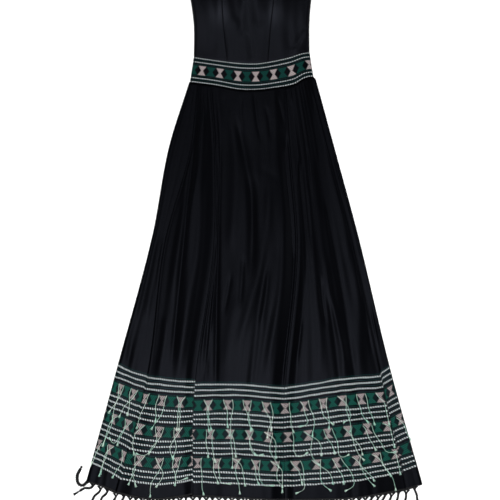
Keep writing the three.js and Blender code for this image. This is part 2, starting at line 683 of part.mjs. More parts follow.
function fringeBack() {
  const lineOut = (distance) =>
    Array.from({ length: BACK_COLUMNS + 1 }, (_, i) => {
      const [x, y] = hemBackPoint(i / BACK_COLUMNS);
      return new THREE.Vector3(x, y - distance, BACK_STRIP_Z);
    });
  const edge = lineOut(SEAM_GAP + FRINGE.strip);
  const strip = wallGeometry([lineOut(SEAM_GAP), edge], STRIP_THICK);
  const roots = frontRoots();
  const [left, right] = [edge[0].x, edge.at(-1).x];
  const cords = roots.slice(1).map((root, i) => {
    const from = pointAtX(edge, (root.x + roots[i].x) / 2);
    return fringeCord(from, (from.x - left) / (right - left), i + 0.5);
  });
  return joined(strip, cords);
}

// ---- Loose yarn ends on the motifs ----

// A point of the skirt front's wall between the points that draw it.
function drawnPoint(index, share, down) {
  const shares = columnShares(index, BELLIES[PANEL_NAMES[index]].columns);
  const cell = (list, value) => clamp(list.findIndex((v) => v > value), 1, list.length - 1) - 1;
  const [c, r] = [cell(shares, share), cell(SKIRT_ROWS, down)];
  const s = (share - shares[c]) / (shares[c + 1] - shares[c]);
  const t = (down - SKIRT_ROWS[r]) / (SKIRT_ROWS[r + 1] - SKIRT_ROWS[r]);
  const line = (row) => frontPoint(index, shares[c], row).lerp(frontPoint(index, shares[c + 1], row), s);
  return line(SKIRT_ROWS[r]).lerp(line(SKIRT_ROWS[r + 1]), t);
}

// A point above the skirt front's face.
function abovePanel(index, share, down, lift) {
  const point = drawnPoint(index, share, down);
  const right = drawnPoint(index, share + 0.02, down).sub(drawnPoint(index, share - 0.02, down));
  const lower = drawnPoint(index, share, down + 0.005).sub(drawnPoint(index, share, down - 0.005));
  return point.addScaledVector(lower.cross(right).normalize(), CLOTH / 2 + lift);
}

function yarnEnds(row, index) {
  const rows = PANELS[PANEL_NAMES[index]];
  const [from, to] = [rows[0].n + TAIL.margin, rows.at(-1).n - TAIL.margin];
  const shareOf = (n) => (n - rows[0].n) / (rows.at(-1).n - rows[0].n);
  const drawn = columnShares(index, BELLIES[PANEL_NAMES[index]].columns);
  const shares = [shareOf(from), ...drawn.filter((s) => s > shareOf(from) && s < shareOf(to)), shareOf(to)];
  const { width, thick, lift: stripLift } = TAIL_STRIP;
  const stripPoint = (s, shift) => abovePanel(index, s, row.down + shift / SKIRT_LENGTH, stripLift);
  const line = (shift) => shares.map((s) => stripPoint(s, shift));
  const strip = wallGeometry([line(-width / 2), line(width / 2)], thick);
  const ends = [];
  for (let motif = Math.ceil(from - row.phase - 0.3); motif <= to; motif++) {
    [-1, 1].forEach((side) => {
      const n = motif + row.phase + side * TAIL.corner;
      if (n < from + TAIL_CLEAR || n > to - TAIL_CLEAR) return;
      const lean = 0.1 * uneven(motif, row.down * 90) - side * 0.1;
      const points = Array.from({ length: TAIL.steps + 1 }, (_, i) => {
        const s = i / TAIL.steps;
        const share = shareOf(clamp(n + lean * s, from, to));
        const lift = lerp(stripLift, TAIL.lift, Math.min(1, 4 * s));
        return abovePanel(index, share, row.down + (TAIL.length * s) / SKIRT_LENGTH, lift);
      });
      ends.push(strandGeometry(points, points.map(() => TAIL.radius), TAIL.sides));
    });
  }
  return joined(strip, ends);
}

// ---- The dress ----
const dress = new THREE.Group();
dress.name = "strapless_dress";

function add(name, geometry, colour, roughness = 0.6) {
  geometry.computeVertexNormals();
  const material = new THREE.MeshStandardMaterial({ color: colour, roughness, metalness: 0 });
  const mesh = new THREE.Mesh(geometry, material);
  mesh.name = name;
  dress.add(mesh);
}

add("skirt_front", wallGeometry(SKIRT_ROWS.map(frontSection), CLOTH), COLOURS.cloth);
add("skirt_back", skirtBack(), COLOURS.cloth);
add("waistband_front", waistbandFront(), COLOURS.band, 0.8);
add("waistband_back", waistbandBack(), COLOURS.band, 0.8);
add("bodice_front_left", bodiceFront("left", "seamLeft", 7), COLOURS.cloth);
add("bodice_front_centre", bodiceFront("seamLeft", "seamRight", 10), COLOURS.cloth);
add("bodice_front_right", bodiceFront("seamRight", "right", 8), COLOURS.cloth);
add("bodice_back", bodiceBack(), COLOURS.cloth);
add("fringe_front", fringeFront(), COLOURS.fringe, 0.9);
add("fringe_back", fringeBack(), COLOURS.fringe, 0.9);
TAIL_ROWS.forEach((row) => {
  [1, 2, 3].forEach((index) => {
    add(`yarn_ends_${row.name}_${PANEL_NAMES[index]}`, yarnEnds(row, index), COLOURS.yarn, 0.8);
  });
});

const box = new THREE.Box3().setFromObject(dress);
const middle = box.getCenter(new THREE.Vector3());
dress.position.set(-middle.x, -middle.y, 0);

export default dress;
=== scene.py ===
"""A long strapless dress of black cloth, laid flat on its back with the front up.

The waistband and the lower part of the skirt are woven with pale and green motifs. Loose yarn ends hang
from the pale motifs, and a knotted fringe runs along the hem. The tables are in millimetres from the
centre front of the waist seam, with the neckline towards +Y. Blender's pieces are in metres.
"""

import logging
import math
from dataclasses import dataclass, field
from enum import Enum
from typing import Callable, Optional, Sequence, Union

import bpy
import numpy as np
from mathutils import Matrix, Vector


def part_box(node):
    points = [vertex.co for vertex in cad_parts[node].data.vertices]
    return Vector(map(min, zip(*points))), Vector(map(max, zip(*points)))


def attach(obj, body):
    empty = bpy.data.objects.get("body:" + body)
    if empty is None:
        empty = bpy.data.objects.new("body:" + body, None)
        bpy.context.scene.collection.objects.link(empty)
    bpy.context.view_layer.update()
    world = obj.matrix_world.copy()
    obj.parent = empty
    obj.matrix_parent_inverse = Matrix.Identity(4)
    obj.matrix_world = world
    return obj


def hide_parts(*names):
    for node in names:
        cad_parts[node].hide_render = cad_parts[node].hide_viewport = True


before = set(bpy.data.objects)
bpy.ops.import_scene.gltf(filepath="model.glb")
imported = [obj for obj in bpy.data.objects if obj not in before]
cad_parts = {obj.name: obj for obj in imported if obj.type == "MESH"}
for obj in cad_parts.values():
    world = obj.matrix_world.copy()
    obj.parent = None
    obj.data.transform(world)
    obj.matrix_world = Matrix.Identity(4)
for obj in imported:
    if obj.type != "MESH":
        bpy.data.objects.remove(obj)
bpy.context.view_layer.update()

BODY = "root"
MM = 0.001
TINY = 1e-9
UP = np.array([0.0, 0.0, 1.0])

Array = np.ndarray
Socket = bpy.types.NodeSocket
Value = Union[float, Socket]
Colour = tuple[float, float, float]
Shape = tuple[Array, Array, Array]

log = logging.getLogger("dress")


# ---- curves and small shapes ----


@dataclass(frozen=True)
class Curve:
    """A smooth curve through the rows of a table."""

    knots: Sequence[float]
    values: Sequence[float]

    def at(self, t: Array) -> Array:
        """The curve's value at t, level beyond its two ends.

        Args:
            t: places among the knots.

        Returns:
            One value for each place.
        """
        t = np.asarray(t, dtype=float)
        knots = np.asarray(self.knots, dtype=float)
        values = np.asarray(self.values, dtype=float)
        last = len(knots) - 1
        i = np.searchsorted(knots[1:-1], t, side="left")
        before, after = np.maximum(i - 1, 0), np.minimum(i + 2, last)
        span = knots[i + 1] - knots[i]
        s = np.clip((t - knots[i]) / span, 0, 1)
        slope_a = span * (values[i + 1] - values[before]) / (knots[i + 1] - knots[before])
        slope_b = span * (values[after] - values[i]) / (knots[after] - knots[i])
        s2, s3 = s * s, s * s * s
        return (
            values[i] * (2 * s3 - 3 * s2 + 1)
            + slope_a * (s3 - 2 * s2 + s)
            + values[i + 1] * (3 * s2 - 2 * s3)
            + slope_b * (s3 - s2)
        )


def smoothstep(x: Array, low: float, high: float) -> Array:
    """0 below low, 1 above high and a smooth rise between them."""
    s = np.clip((x - low) / (high - low), 0, 1)
    return s * s * (3 - 2 * s)


def lerp(a: Array, b: Array, s: Array) -> Array:
    """The value a share s of the way from a to b."""
    return a + (b - a) * s


def soften(height: Array) -> Array:
    """Keeps a height above zero without a corner."""
    return (height + np.sqrt(height * height + 1)) / 2


def uneven(i: Array, salt: float) -> Array:
    """A smooth, repeatable unevenness between -1 and 1 for the i-th of a row of like things."""
    return np.sin(i * 2.399 + salt * 1.7) * np.cos(i * 0.713 + salt)


@dataclass(frozen=True)
class Crease:
    """A soft trough in the cloth from one point to another, its middle bowed towards +X."""

    x0: float
    y0: float
    x1: float
    y1: float
    bow: float
    depth: float
    half: float

    def depth_at(self, x: Array, y: Array) -> Array:
        """How deep the trough is at a point. It fades out at both ends.

        Args:
            x: millimetres across.
            y: millimetres up the dress.

        Returns:
            Depths in millimetres.
        """
        s = (y - self.y0) / (self.y1 - self.y0)
        middle = lerp(self.x0, self.x1, s) + self.bow * 4 * s * (1 - s)
        fade = smoothstep(s, 0, 0.15) * (1 - smoothstep(s, 0.9, 1.1))
        return self.depth * fade * np.exp(-(((x - middle) / self.half) ** 2))


@dataclass(frozen=True)
class Fold:
    """A soft ridge, or a valley where the height is negative, along a line of points from the top down."""

    points: tuple[tuple[float, float], ...]
    height: float
    half: float

    def height_at(self, x: Array, y: Array) -> Array:
        """How far the fold lifts the cloth at a point. It fades in and out at its ends.

        Args:
            x: millimetres across.
            y: millimetres up the dress.

        Returns:
            Heights in millimetres.
        """
        line = Curve([-point[1] for point in self.points], [point[0] for point in self.points])
        top, foot = self.points[0][1], self.points[-1][1]
        s = (y - top) / (foot - top)
        fade = smoothstep(s, -0.1, 0.15) * (1 - smoothstep(s, 0.8, 1.1))
        return self.height * fade * np.exp(-(((x - line.at(-y)) / self.half) ** 2))


def troughs(creases: Sequence[Crease], x: Array, y: Array) -> Array:
    """How deep all the troughs together are at a point."""
    return sum(crease.depth_at(x, y) for crease in creases)


# ---- driving sizes ----

CLOTH = 1.2
BAND_CLOTH = 1.6
SEAM_GAP = 0.3
BACK_CLOTH = 1.2
LOW = BACK_CLOTH + SEAM_GAP + CLOTH / 2 + 0.4
SEAM_RISE = 0.1
EDGE_ROLL = 9.0
EDGE_SWELL = 3.0
FOLD_RADIUS = 1.1
FOLD_LEAD = 2.5
FOLD_STEPS = 7
PLEAT_EASE = 6.0
MOTIF_PITCH = 50.7
SKIRT_LENGTH = 1060.0
LEVELS = (0.0, 0.17, 0.4, 0.73, 1.0)
BAND_LEVEL = LEVELS[3]
BORDER_TOP = 0.76
BACK_SAG = -16.0


@dataclass(frozen=True)
class SeamPoint:
    """A point on the waistband's lower and upper seams."""

    across: float
    lower_x: float
    lower_y: float
    upper_x: float
    upper_y: float
    loft: float


WAIST_SEAMS = (
    SeamPoint(0.0, -161, 21, -151, 87, 0),
    SeamPoint(0.2, -97, 12, -91, 77, 6),
    SeamPoint(0.4, -34, 0, -32, 70, 8),
    SeamPoint(0.55, 14, -1, 13, 69, 8),
    SeamPoint(0.7, 62, 5, 58, 76, 7),
    SeamPoint(0.85, 110, 15, 101, 86, 6),
    SeamPoint(0.93, 136, 30, 128, 95, 5),
    SeamPoint(1.0, 159, 35, 149, 99, 0),
    SeamPoint(1.04, 166, 27, 156, 98, 0),
)


def seam_curve(at: str, value: str) -> Curve:
    """One column of the waistband's seams against another."""
    return Curve([getattr(p, at) for p in WAIST_SEAMS], [getattr(p, value) for p in WAIST_SEAMS])


LOWER_SEAM_Y = seam_curve("lower_x", "lower_y")
UPPER_SEAM_Y = seam_curve("upper_x", "upper_y")
LOWER_SEAM_LOFT = seam_curve("lower_x", "loft")
UPPER_SEAM_LOFT = seam_curve("upper_x", "loft")


def rolled(height: Array, inside: Array, seam: float) -> Array:
    """Turns a height down to the seam beside a side edge, `inside` millimetres away."""
    s = np.clip(inside / EDGE_ROLL, 0, 1)
    return lerp(seam, height, np.sqrt(1 - (1 - s) ** 2))


class Placing:
    """Moves points from the tables' own origin into the shared frame."""

    TOP_EDGE_SIDE = 288.0
    HEM_MIDDLE_X = 6.0

    def __init__(self) -> None:
        """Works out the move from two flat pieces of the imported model."""
        low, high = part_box("skirt_back")
        self.x = (low[0] + high[0]) / 2 / MM - self.HEM_MIDDLE_X
        self.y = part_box("bodice_back")[1][1] / MM - self.TOP_EDGE_SIDE

    def metres(self, points: Array) -> Array:
        """Points in metres in the shared frame."""
        return (np.asarray(points) + np.array([self.x, self.y, 0.0])) * MM


PLACING = Placing()


# ---- meshes ----


class MeshMaker:
    """Builds Blender meshes from arrays of points in millimetres."""

    @staticmethod
    def build(name: str, points: Array, faces: Array, uvs: Array) -> bpy.types.Object:
        """Makes a smooth-shaded piece.

        Args:
            name: the piece's name.
            points: its vertices in millimetres from the tables' origin.
            faces: four or three vertex numbers a row.
            uvs: a cloth coordinate for each vertex.

        Returns:
            The new object, linked to the scene.
        """
        mesh = bpy.data.meshes.new(name)
        corners = faces.shape[1]
        mesh.vertices.add(len(points))
        mesh.vertices.foreach_set("co", PLACING.metres(points).astype(np.float32).ravel())
        mesh.loops.add(faces.size)
        mesh.loops.foreach_set("vertex_index", faces.astype(np.int32).ravel())
        mesh.polygons.add(len(faces))
        mesh.polygons.foreach_set("loop_start", np.arange(0, faces.size, corners, dtype=np.int32))
        mesh.polygons.foreach_set("use_smooth", np.ones(len(faces), dtype=bool))
        mesh.update(calc_edges=True)
        layer = mesh.uv_layers.new(name="cloth")
        layer.data.foreach_set("uv", uvs[faces.ravel()].astype(np.float32).ravel())
        mesh.validate()
        piece = bpy.data.objects.new(name, mesh)
        bpy.context.scene.collection.objects.link(piece)
        return piece

    @staticmethod
    def wall(points: Array, cloth: Array, thick: float) -> Shape:
        """A closed wall whose middle runs through a grid of points.

        Args:
            points: rows by columns by three, from the top row down and from left to right.
            cloth: the cloth coordinate of each point.
            thick: the wall's thickness in millimetres.

        Returns:
            Vertices, faces and cloth coordinates.
        """
        rows, columns = points.shape[:2]
        normal = grid_normals(points)
        vertices = np.concatenate([points + normal * thick / 2, points - normal * thick / 2])
        ids = np.arange(2 * rows * columns).reshape(2, rows, columns)
        top, under = ids[0], ids[1]

        def quads(a: Array, b: Array, c: Array, d: Array) -> Array:
            """Faces from four arrays of corners."""
            return np.stack([a.ravel(), b.ravel(), c.ravel(), d.ravel()], axis=1)

        faces = [
            quads(top[:-1, :-1], top[1:, :-1], top[1:, 1:], top[:-1, 1:]),
            quads(under[:-1, :-1], under[:-1, 1:], under[1:, 1:], under[1:, :-1]),
            quads(top[0, :-1], top[0, 1:], under[0, 1:], under[0, :-1]),
            quads(top[-1, 1:], top[-1, :-1], under[-1, :-1], under[-1, 1:]),
            quads(top[1:, 0], top[:-1, 0], under[:-1, 0], under[1:, 0]),
            quads(top[:-1, -1], top[1:, -1], under[1:, -1], under[:-1, -1]),
        ]
        uvs = np.concatenate([cloth.reshape(-1, 2)] * 2)
        return vertices.reshape(-1, 3), np.concatenate(faces), uvs

    @staticmethod
    def tube(path: Array, radii: Array, sides: int) -> Shape:
        """A closed round strand along a path.

        Args:
            path: points in millimetres.
            radii: the strand's radius at each point.
            sides: how many flats go round it.

        Returns:
            Vertices, faces and cloth coordinates: along the strand and round it.
        """
        across, lift = strand_sides(path, UP + np.array([1e-4, 3e-5, 0.0]))
        angles = 2 * math.pi * np.arange(sides) / sides
        ring = (
            path[:, None, :]
            + radii[:, None, None] * np.cos(angles)[None, :, None] * across[:, None, :]
            + radii[:, None, None] * np.sin(angles)[None, :, None] * lift[:, None, :]
        )
        count = len(path)
        ids = np.arange(count * sides).reshape(count, sides)
        nxt = np.roll(ids, -1, axis=1)
        body = np.stack([part.ravel() for part in (ids[:-1], nxt[:-1], nxt[1:], ids[1:])], axis=1)
        length = np.concatenate([[0.0], np.cumsum(np.linalg.norm(np.diff(path, axis=0), axis=1))])
        uv = np.stack([np.repeat(length * MM, sides), np.tile(np.arange(sides) / sides, count)], axis=1)
        first, last = count * sides, count * sides + 1
        vertices = np.concatenate([ring.reshape(-1, 3), path[:1], path[-1:]])
        start = np.stack([nxt[0], ids[0], np.full(sides, first), np.full(sides, first)], axis=1)
        end = np.stack([ids[-1], nxt[-1], np.full(sides, last), np.full(sides, last)], axis=1)
        faces = np.concatenate([body, start, end])
        uvs = np.concatenate([uv, uv[:1], uv[-1:]])
        return vertices, faces, uvs

    @staticmethod
    def merged(name: str, parts: Sequence[Shape]) -> bpy.types.Object:
        """One piece from several closed shapes, each vertices, faces and cloth coordinates.

        Args:
            name: the piece's name.
            parts: the shapes.

        Returns:
            The new piece.
        """
        vertices, faces, uvs, start = [], [], [], 0
        for points, quads, cloth in parts:
            vertices.append(points)
            faces.append(quads + start)
            uvs.append(cloth)
            start += len(points)
        return MeshMaker.build(name, np.concatenate(vertices), np.concatenate(faces), np.concatenate(uvs))


def strand_sides(path: Array, upward: Array) -> tuple[Array, Array]:
    """Unit directions across a strand, level and upward, at each point of its path.

    Args:
        path: points in millimetres.
        upward: roughly which way is up.

    Returns:
        The level and the upward directions.
    """
    heading = np.gradient(path, axis=0)
    heading /= np.linalg.norm(heading, axis=1, keepdims=True) + TINY
    across = np.cross(upward, heading)
    across /= np.linalg.norm(across, axis=1, keepdims=True) + TINY
    return across, np.cross(heading, across)


def along_path(path: Array, place: Array, t: Array) -> Array:
    """Points at places t along a path whose own points lie at the given places."""
    return np.stack([np.interp(t, place, path[:, k]) for k in range(3)], axis=1)


def grid_normals(points: Array) -> Array:
    """Unit normals of a grid of points, out of the face that looks up.

    Args:
        points: rows by columns by three.

    Returns:
        One unit vector for each point.
    """
    across = np.gradient(points, axis=1)
    downward = np.gradient(points, axis=0)
    normal = np.cross(downward, across)
    return normal / (np.linalg.norm(normal, axis=2, keepdims=True) + TINY)


# ---- finishes ----


class Tree:
    """Adds nodes to one node tree and joins them."""

    def __init__(self, tree: bpy.types.NodeTree) -> None:
        """Keeps the tree to work on."""
        self.tree = tree

    def node(self, kind: str, **settings: object) -> bpy.types.Node:
        """A new node with its settings.

        Args:
            kind: the node's type.
            settings: its properties.

        Returns:
            The new node.
        """
        node = self.tree.nodes.new(kind)
        for key, value in settings.items():
            setattr(node, key, value)
        return node

    def feed(self, socket: Socket, value: Union[Value, Colour, Sequence[float]]) -> None:
        """Links a socket, or sets its value.

        Args:
            socket: the input to fill.
            value: an output to link, or a number, vector or colour.
        """
        if isinstance(value, bpy.types.NodeSocket):
            self.tree.links.new(value, socket)
            return
        if socket.type == "RGBA" and len(value) == 3:
            value = (*value, 1.0)
        socket.default_value = value

    def math(self, operation: str, a: Value, b: Value = 0.0, c: Value = 0.0, clamp: bool = False) -> Socket:
        """The result of a Math node.

        Args:
            operation: the node's operation.
            a: its first input.
            b: its second.
            c: its third.
            clamp: keeps it between 0 and 1.

        Returns:
            The node's output.
        """
        node = self.node("ShaderNodeMath", operation=operation, use_clamp=clamp)
        for socket, value in zip(node.inputs, (a, b, c)):
            self.feed(socket, value)
        return node.outputs[0]

    def mix(self, share: Value, a: Union[Colour, Socket], b: Union[Colour, Socket]) -> Socket:
        """Colour a turned towards colour b.

        Args:
            share: 0 for the first, 1 for the second.
            a: the first colour.
            b: the second colour.

        Returns:
            The mixed colour.
        """
        node = self.node("ShaderNodeMix", data_type="RGBA")
        self.feed(node.inputs[0], share)
        self.feed(node.inputs[6], a)
        self.feed(node.inputs[7], b)
        return node.outputs[2]

    def blend(self, share: Value, a: Value, b: Value) -> Socket:
        """Value a turned towards value b.

        Args:
            share: 0 for the first, 1 for the second.
            a: the first value.
            b: the second value.

        Returns:
            The mixed value.
        """
        node = self.node("ShaderNodeMix", data_type="FLOAT")
        for socket, value in zip(node.inputs[:1] + [node.inputs[2], node.inputs[3]], (share, a, b)):
            self.feed(socket, value)
        return node.outputs[0]

    def within(self, value: Value, half: Value, soft: float) -> Socket:
        """1 where a value's size is below half, with an edge soft wide.

        Args:
            value: what is tested.
            half: half of the mask's width.
            soft: the width of its edge.

        Returns:
            A mask from 0 to 1.
        """
        size = self.math("ABSOLUTE", value)
        edge = self.math("SUBTRACT", half, size)
        return self.math("DIVIDE", self.math("ADD", edge, soft / 2), soft, clamp=True)

    def noise(self, vector: Socket, scale: float, detail: float = 3.0, rough: float = 0.5) -> Socket:
        """The value of a Noise node.

        Args:
            vector: where to read it.
            scale: its scale.
            detail: its number of octaves.
            rough: how strong the finer octaves are.

        Returns:
            The noise, from 0 to 1.
        """
        node = self.node("ShaderNodeTexNoise")
        self.feed(node.inputs["Vector"], vector)
        for name, value in (("Scale", scale), ("Detail", detail), ("Roughness", rough)):
            self.feed(node.inputs[name], value)
        return node.outputs["Fac"]

    def stretched(self, vector: Socket, scale: Sequence[float]) -> Socket:
        """A vector scaled by its three parts.

        Args:
            vector: the vector.
            scale: what each part is multiplied by.

        Returns:
            The scaled vector.
        """
        node = self.node("ShaderNodeMapping")
        self.feed(node.inputs["Vector"], vector)
        self.feed(node.inputs["Scale"], scale)
        return node.outputs[0]

    def parts(self, vector: Socket) -> tuple[Socket, Socket]:
        """The first two parts of a vector.

        Args:
            vector: the vector.

        Returns:
            Its first and second part.
        """
        node = self.node("ShaderNodeSeparateXYZ")
        self.feed(node.inputs[0], vector)
        return node.outputs[0], node.outputs[1]


class ShaderGroups:
    """The shader groups that more than one material uses, each built once.

    The scales are repeats of the noise in a metre, along the cloth, up it and out of it.
    """

    STREAKS = (260.0, 9.0, 1.0)
    SLUBS = (30.0, 420.0, 1.0)
    SHADES = (14.0, 5.0, 1.0)
    WORN = (260.0, 260.0, 1.0)
    WOVEN_EDGE = 0.0012
    LINE_EDGE = 0.0010
    FLOAT_GAP = 0.18
    FLOAT_SLANT = 0.5
    MOTIF_STEPS = 5.0
    PALE_WAIST = 0.0022
    GREEN_WAIST = 0.0040

    def __init__(self) -> None:
        """Builds the groups."""
        self.weave = self._weave()
        self.dashes = self._dashes()
        self.motifs = self._motifs()
        self.hatch = self._hatch()

    @staticmethod
    def _open(
        name: str, inputs: dict[str, Optional[float]], outputs: Sequence[str]
    ) -> tuple[bpy.types.NodeTree, Tree, dict[str, Socket], dict[str, Socket]]:
        """Starts a group.

        Args:
            name: the group's name.
            inputs: the start value of each number, or None for a vector, by name.
            outputs: the names of the numbers that it puts out.

        Returns:
            The group, its builder, and its inputs and outputs by name.
        """
        group = bpy.data.node_groups.new(name, "ShaderNodeTree")
        for label, value in inputs.items():
            kind = "NodeSocketVector" if value is None else "NodeSocketFloat"
            made = group.interface.new_socket(label, in_out="INPUT", socket_type=kind)
            if value is not None:
                made.default_value = value
        for label in outputs:
            group.interface.new_socket(label, in_out="OUTPUT", socket_type="NodeSocketFloat")
        tree = Tree(group)
        enter = tree.node("NodeGroupInput")
        leave = tree.node("NodeGroupOutput")
        given = {label: enter.outputs[label] for label in inputs}
        wanted = {label: leave.inputs[label] for label in outputs}
        return group, tree, given, wanted

    def _weave(self) -> bpy.types.NodeTree:
        """Threads that pass over and under one another, with their height and slow colour changes.

        Returns:
            The new group.
        """
        group, tree, given, wanted = self._open(
            "cloth_weave", {"Cloth": None, "Thread": 0.0007, "Slub": 0.4}, ("Height", "Shade", "Streak")
        )
        u, v = tree.parts(given["Cloth"])
        turns = tree.math("DIVIDE", math.pi, given["Thread"])
        warp = tree.math("SINE", tree.math("MULTIPLY", u, turns))
        weft = tree.math("SINE", tree.math("MULTIPLY", v, turns))
        crossing = tree.math("MULTIPLY", warp, weft)
        raised = tree.math("MULTIPLY_ADD", crossing, 0.5, 0.5)
        streak = tree.noise(tree.stretched(given["Cloth"], self.STREAKS), 1.0, 4.0, 0.6)
        slub = tree.noise(tree.stretched(given["Cloth"], self.SLUBS), 1.0, 3.0, 0.6)
        height = tree.math("MULTIPLY_ADD", tree.math("SUBTRACT", slub, 0.5), given["Slub"], raised)
        shade = tree.noise(tree.stretched(given["Cloth"], self.SHADES), 1.0, 5.0, 0.6)
        tree.feed(wanted["Height"], height)
        tree.feed(wanted["Shade"], shade)
        tree.feed(wanted["Streak"], streak)
        return group

    def _dashes(self) -> bpy.types.NodeTree:
        """A woven line of short slanting floats.

        Returns:
            The new group.
        """
        group, tree, given, wanted = self._open(
            "woven_line",
            {"Along": 0.0, "Offset": 0.0, "Half width": 0.0020, "Float pitch": 0.0066},
            ("Line", "Float"),
        )
        line = tree.within(given["Offset"], given["Half width"], self.LINE_EDGE)
        slant = tree.math("MULTIPLY", given["Offset"], self.FLOAT_SLANT)
        slanted = tree.math("ADD", given["Along"], slant)
        turn = tree.math("FRACT", tree.math("DIVIDE", slanted, given["Float pitch"]))
        gap = tree.within(tree.math("SUBTRACT", turn, 0.5), self.FLOAT_GAP, self.FLOAT_GAP)
        tree.feed(wanted["Line"], line)
        tree.feed(wanted["Float"], tree.math("MULTIPLY", line, gap))
        return group

    def _motifs(self) -> bpy.types.NodeTree:
        """A row of hourglasses, pale and green turn about, with dark diamonds between them.

        Returns:
            The new group.
        """
        group, tree, given, wanted = self._open(
            "hourglass_row",
            {
                "Count": 0.0,
                "Offset": 0.0,
                "Half height": 0.0125,
                "Pitch": MOTIF_PITCH * MM,
                "Pale width": 0.0115,
                "Green width": 0.0132,
            },
            ("Pale", "Green", "Row"),
        )
        row = tree.within(given["Offset"], given["Half height"], self.WOVEN_EDGE)
        rise = tree.math("DIVIDE", tree.math("ABSOLUTE", given["Offset"]), given["Half height"])
        stepped = tree.math("ROUND", tree.math("MULTIPLY", rise, self.MOTIF_STEPS))
        steps = tree.math("DIVIDE", stepped, self.MOTIF_STEPS)

        def hourglass(phase: float, wide: Socket, narrow: float) -> Socket:
            """One set of hourglasses, phase of a pitch along from whole counts.

            Args:
                phase: how far along it is shifted, in pitches.
                wide: half of its width at the top and foot.
                narrow: half of its width at the waist.

            Returns:
                Its mask.
            """
            shifted = tree.math("ADD", given["Count"], 0.5 + phase)
            centred = tree.math("SUBTRACT", tree.math("FRACT", shifted), 0.5)
            across = tree.math("MULTIPLY", centred, given["Pitch"])
            half = tree.blend(steps, narrow, wide)
            return tree.math("MULTIPLY", tree.within(across, half, self.WOVEN_EDGE), row)

        pale = hourglass(0.0, given["Pale width"], self.PALE_WAIST)
        green = hourglass(0.5, given["Green width"], self.GREEN_WAIST)
        tree.feed(wanted["Pale"], pale)
        tree.feed(wanted["Green"], tree.math("MULTIPLY", green, tree.math("SUBTRACT", 1.0, pale)))
        tree.feed(wanted["Row"], row)
        return group

    def _hatch(self) -> bpy.types.NodeTree:
        """Slanting threads that leave a motif lighter and darker by turns, with worn places.

        Returns:
            The new group.
        """
        group, tree, given, wanted = self._open(
            "slanting_threads", {"Cloth": None, "Pitch": 0.0056, "Depth": 0.42}, ("Hatch", "Worn")
        )
        u, v = tree.parts(given["Cloth"])
        turns = tree.math("DIVIDE", 2 * math.pi, given["Pitch"])
        wave = tree.math("SINE", tree.math("MULTIPLY", tree.math("ADD", u, v), turns))
        hatch = tree.math("MULTIPLY_ADD", wave, given["Depth"], tree.math("SUBTRACT", 1.0, given["Depth"]))
        worn = tree.noise(tree.stretched(given["Cloth"], self.WORN), 1.0, 2.0)
        tree.feed(wanted["Hatch"], hatch)
        tree.feed(wanted["Worn"], tree.math("MULTIPLY_ADD", worn, 0.9, 0.42, clamp=True))
        return group


GROUPS = ShaderGroups()


@dataclass(frozen=True)
class Yarns:
    """The colours of the dyed yarns, as linear red, green and blue."""

    black: Colour = (0.0003, 0.0003, 0.0005)
    black_light: Colour = (0.0009, 0.0010, 0.0014)
    pale: Colour = (0.30, 0.255, 0.255)
    stripe: Colour = (0.54, 0.59, 0.60)
    green: Colour = (0.0072, 0.062, 0.046)
    deep_green: Colour = (0.0060, 0.032, 0.031)
    mint: Colour = (0.22, 0.46, 0.36)
    mint_white: Colour = (0.60, 0.63, 0.57)
    band_green: Colour = (0.0035, 0.020, 0.026)
    band_green_light: Colour = (0.0040, 0.033, 0.026)
    cord: Colour = (0.001, 0.001, 0.0015)
    cord_light: Colour = (0.004, 0.004, 0.005)


YARNS = Yarns()


class Finish:
    """A material in the making: its tree, its cloth coordinates and its Principled shader."""

    def __init__(self, name: str) -> None:
        """Starts the material.

        Args:
            name: the material's name.
        """
        self.material = bpy.data.materials.new(name)
        self.material.use_nodes = True
        self.tree = Tree(self.material.node_tree)
        self.material.node_tree.nodes.clear()
        self.shader = self.tree.node("ShaderNodeBsdfPrincipled")
        output = self.tree.node("ShaderNodeOutputMaterial")
        self.tree.feed(output.inputs["Surface"], self.shader.outputs[0])
        self.cloth = self.tree.node("ShaderNodeUVMap", uv_map="cloth").outputs[0]

    def put(self, group: bpy.types.NodeTree, **values: object) -> dict[str, Socket]:
        """Places a shader group and gives its outputs by name. Underscores stand for spaces.

        Args:
            group: the shader group.
            values: its inputs.

        Returns:
            Its outputs by name.
        """
        node = self.tree.node("ShaderNodeGroup", node_tree=group)
        for name, value in values.items():
            self.tree.feed(node.inputs[name.replace("_", " ")], value)
        return {socket.name: socket for socket in node.outputs}

    def fine_line(self, along: Socket, offset: Socket) -> Socket:
        """The mask of a thin woven line."""
        sizes = {"Half_width": FINE_HALF_WIDTH, "Float_pitch": FINE_PITCH}
        return self.put(GROUPS.dashes, Along=along, Offset=offset, **sizes)["Float"]

    def bump(self, height: Socket, distance: float, strength: float) -> None:
        """Raises the surface by a height map.

        Args:
            height: the height map.
            distance: how high it stands, in metres.
            strength: how much of it shows.
        """
        node = self.tree.node("ShaderNodeBump")
        self.tree.feed(node.inputs["Height"], height)
        node.inputs["Distance"].default_value = distance
        node.inputs["Strength"].default_value = strength
        self.tree.feed(self.shader.inputs["Normal"], node.outputs[0])

    def set(self, **values: object) -> None:
        """Feeds or sets the shader's inputs. Underscores stand for spaces."""
        for name, value in values.items():
            self.tree.feed(self.shader.inputs[name.replace("_", " ")], value)


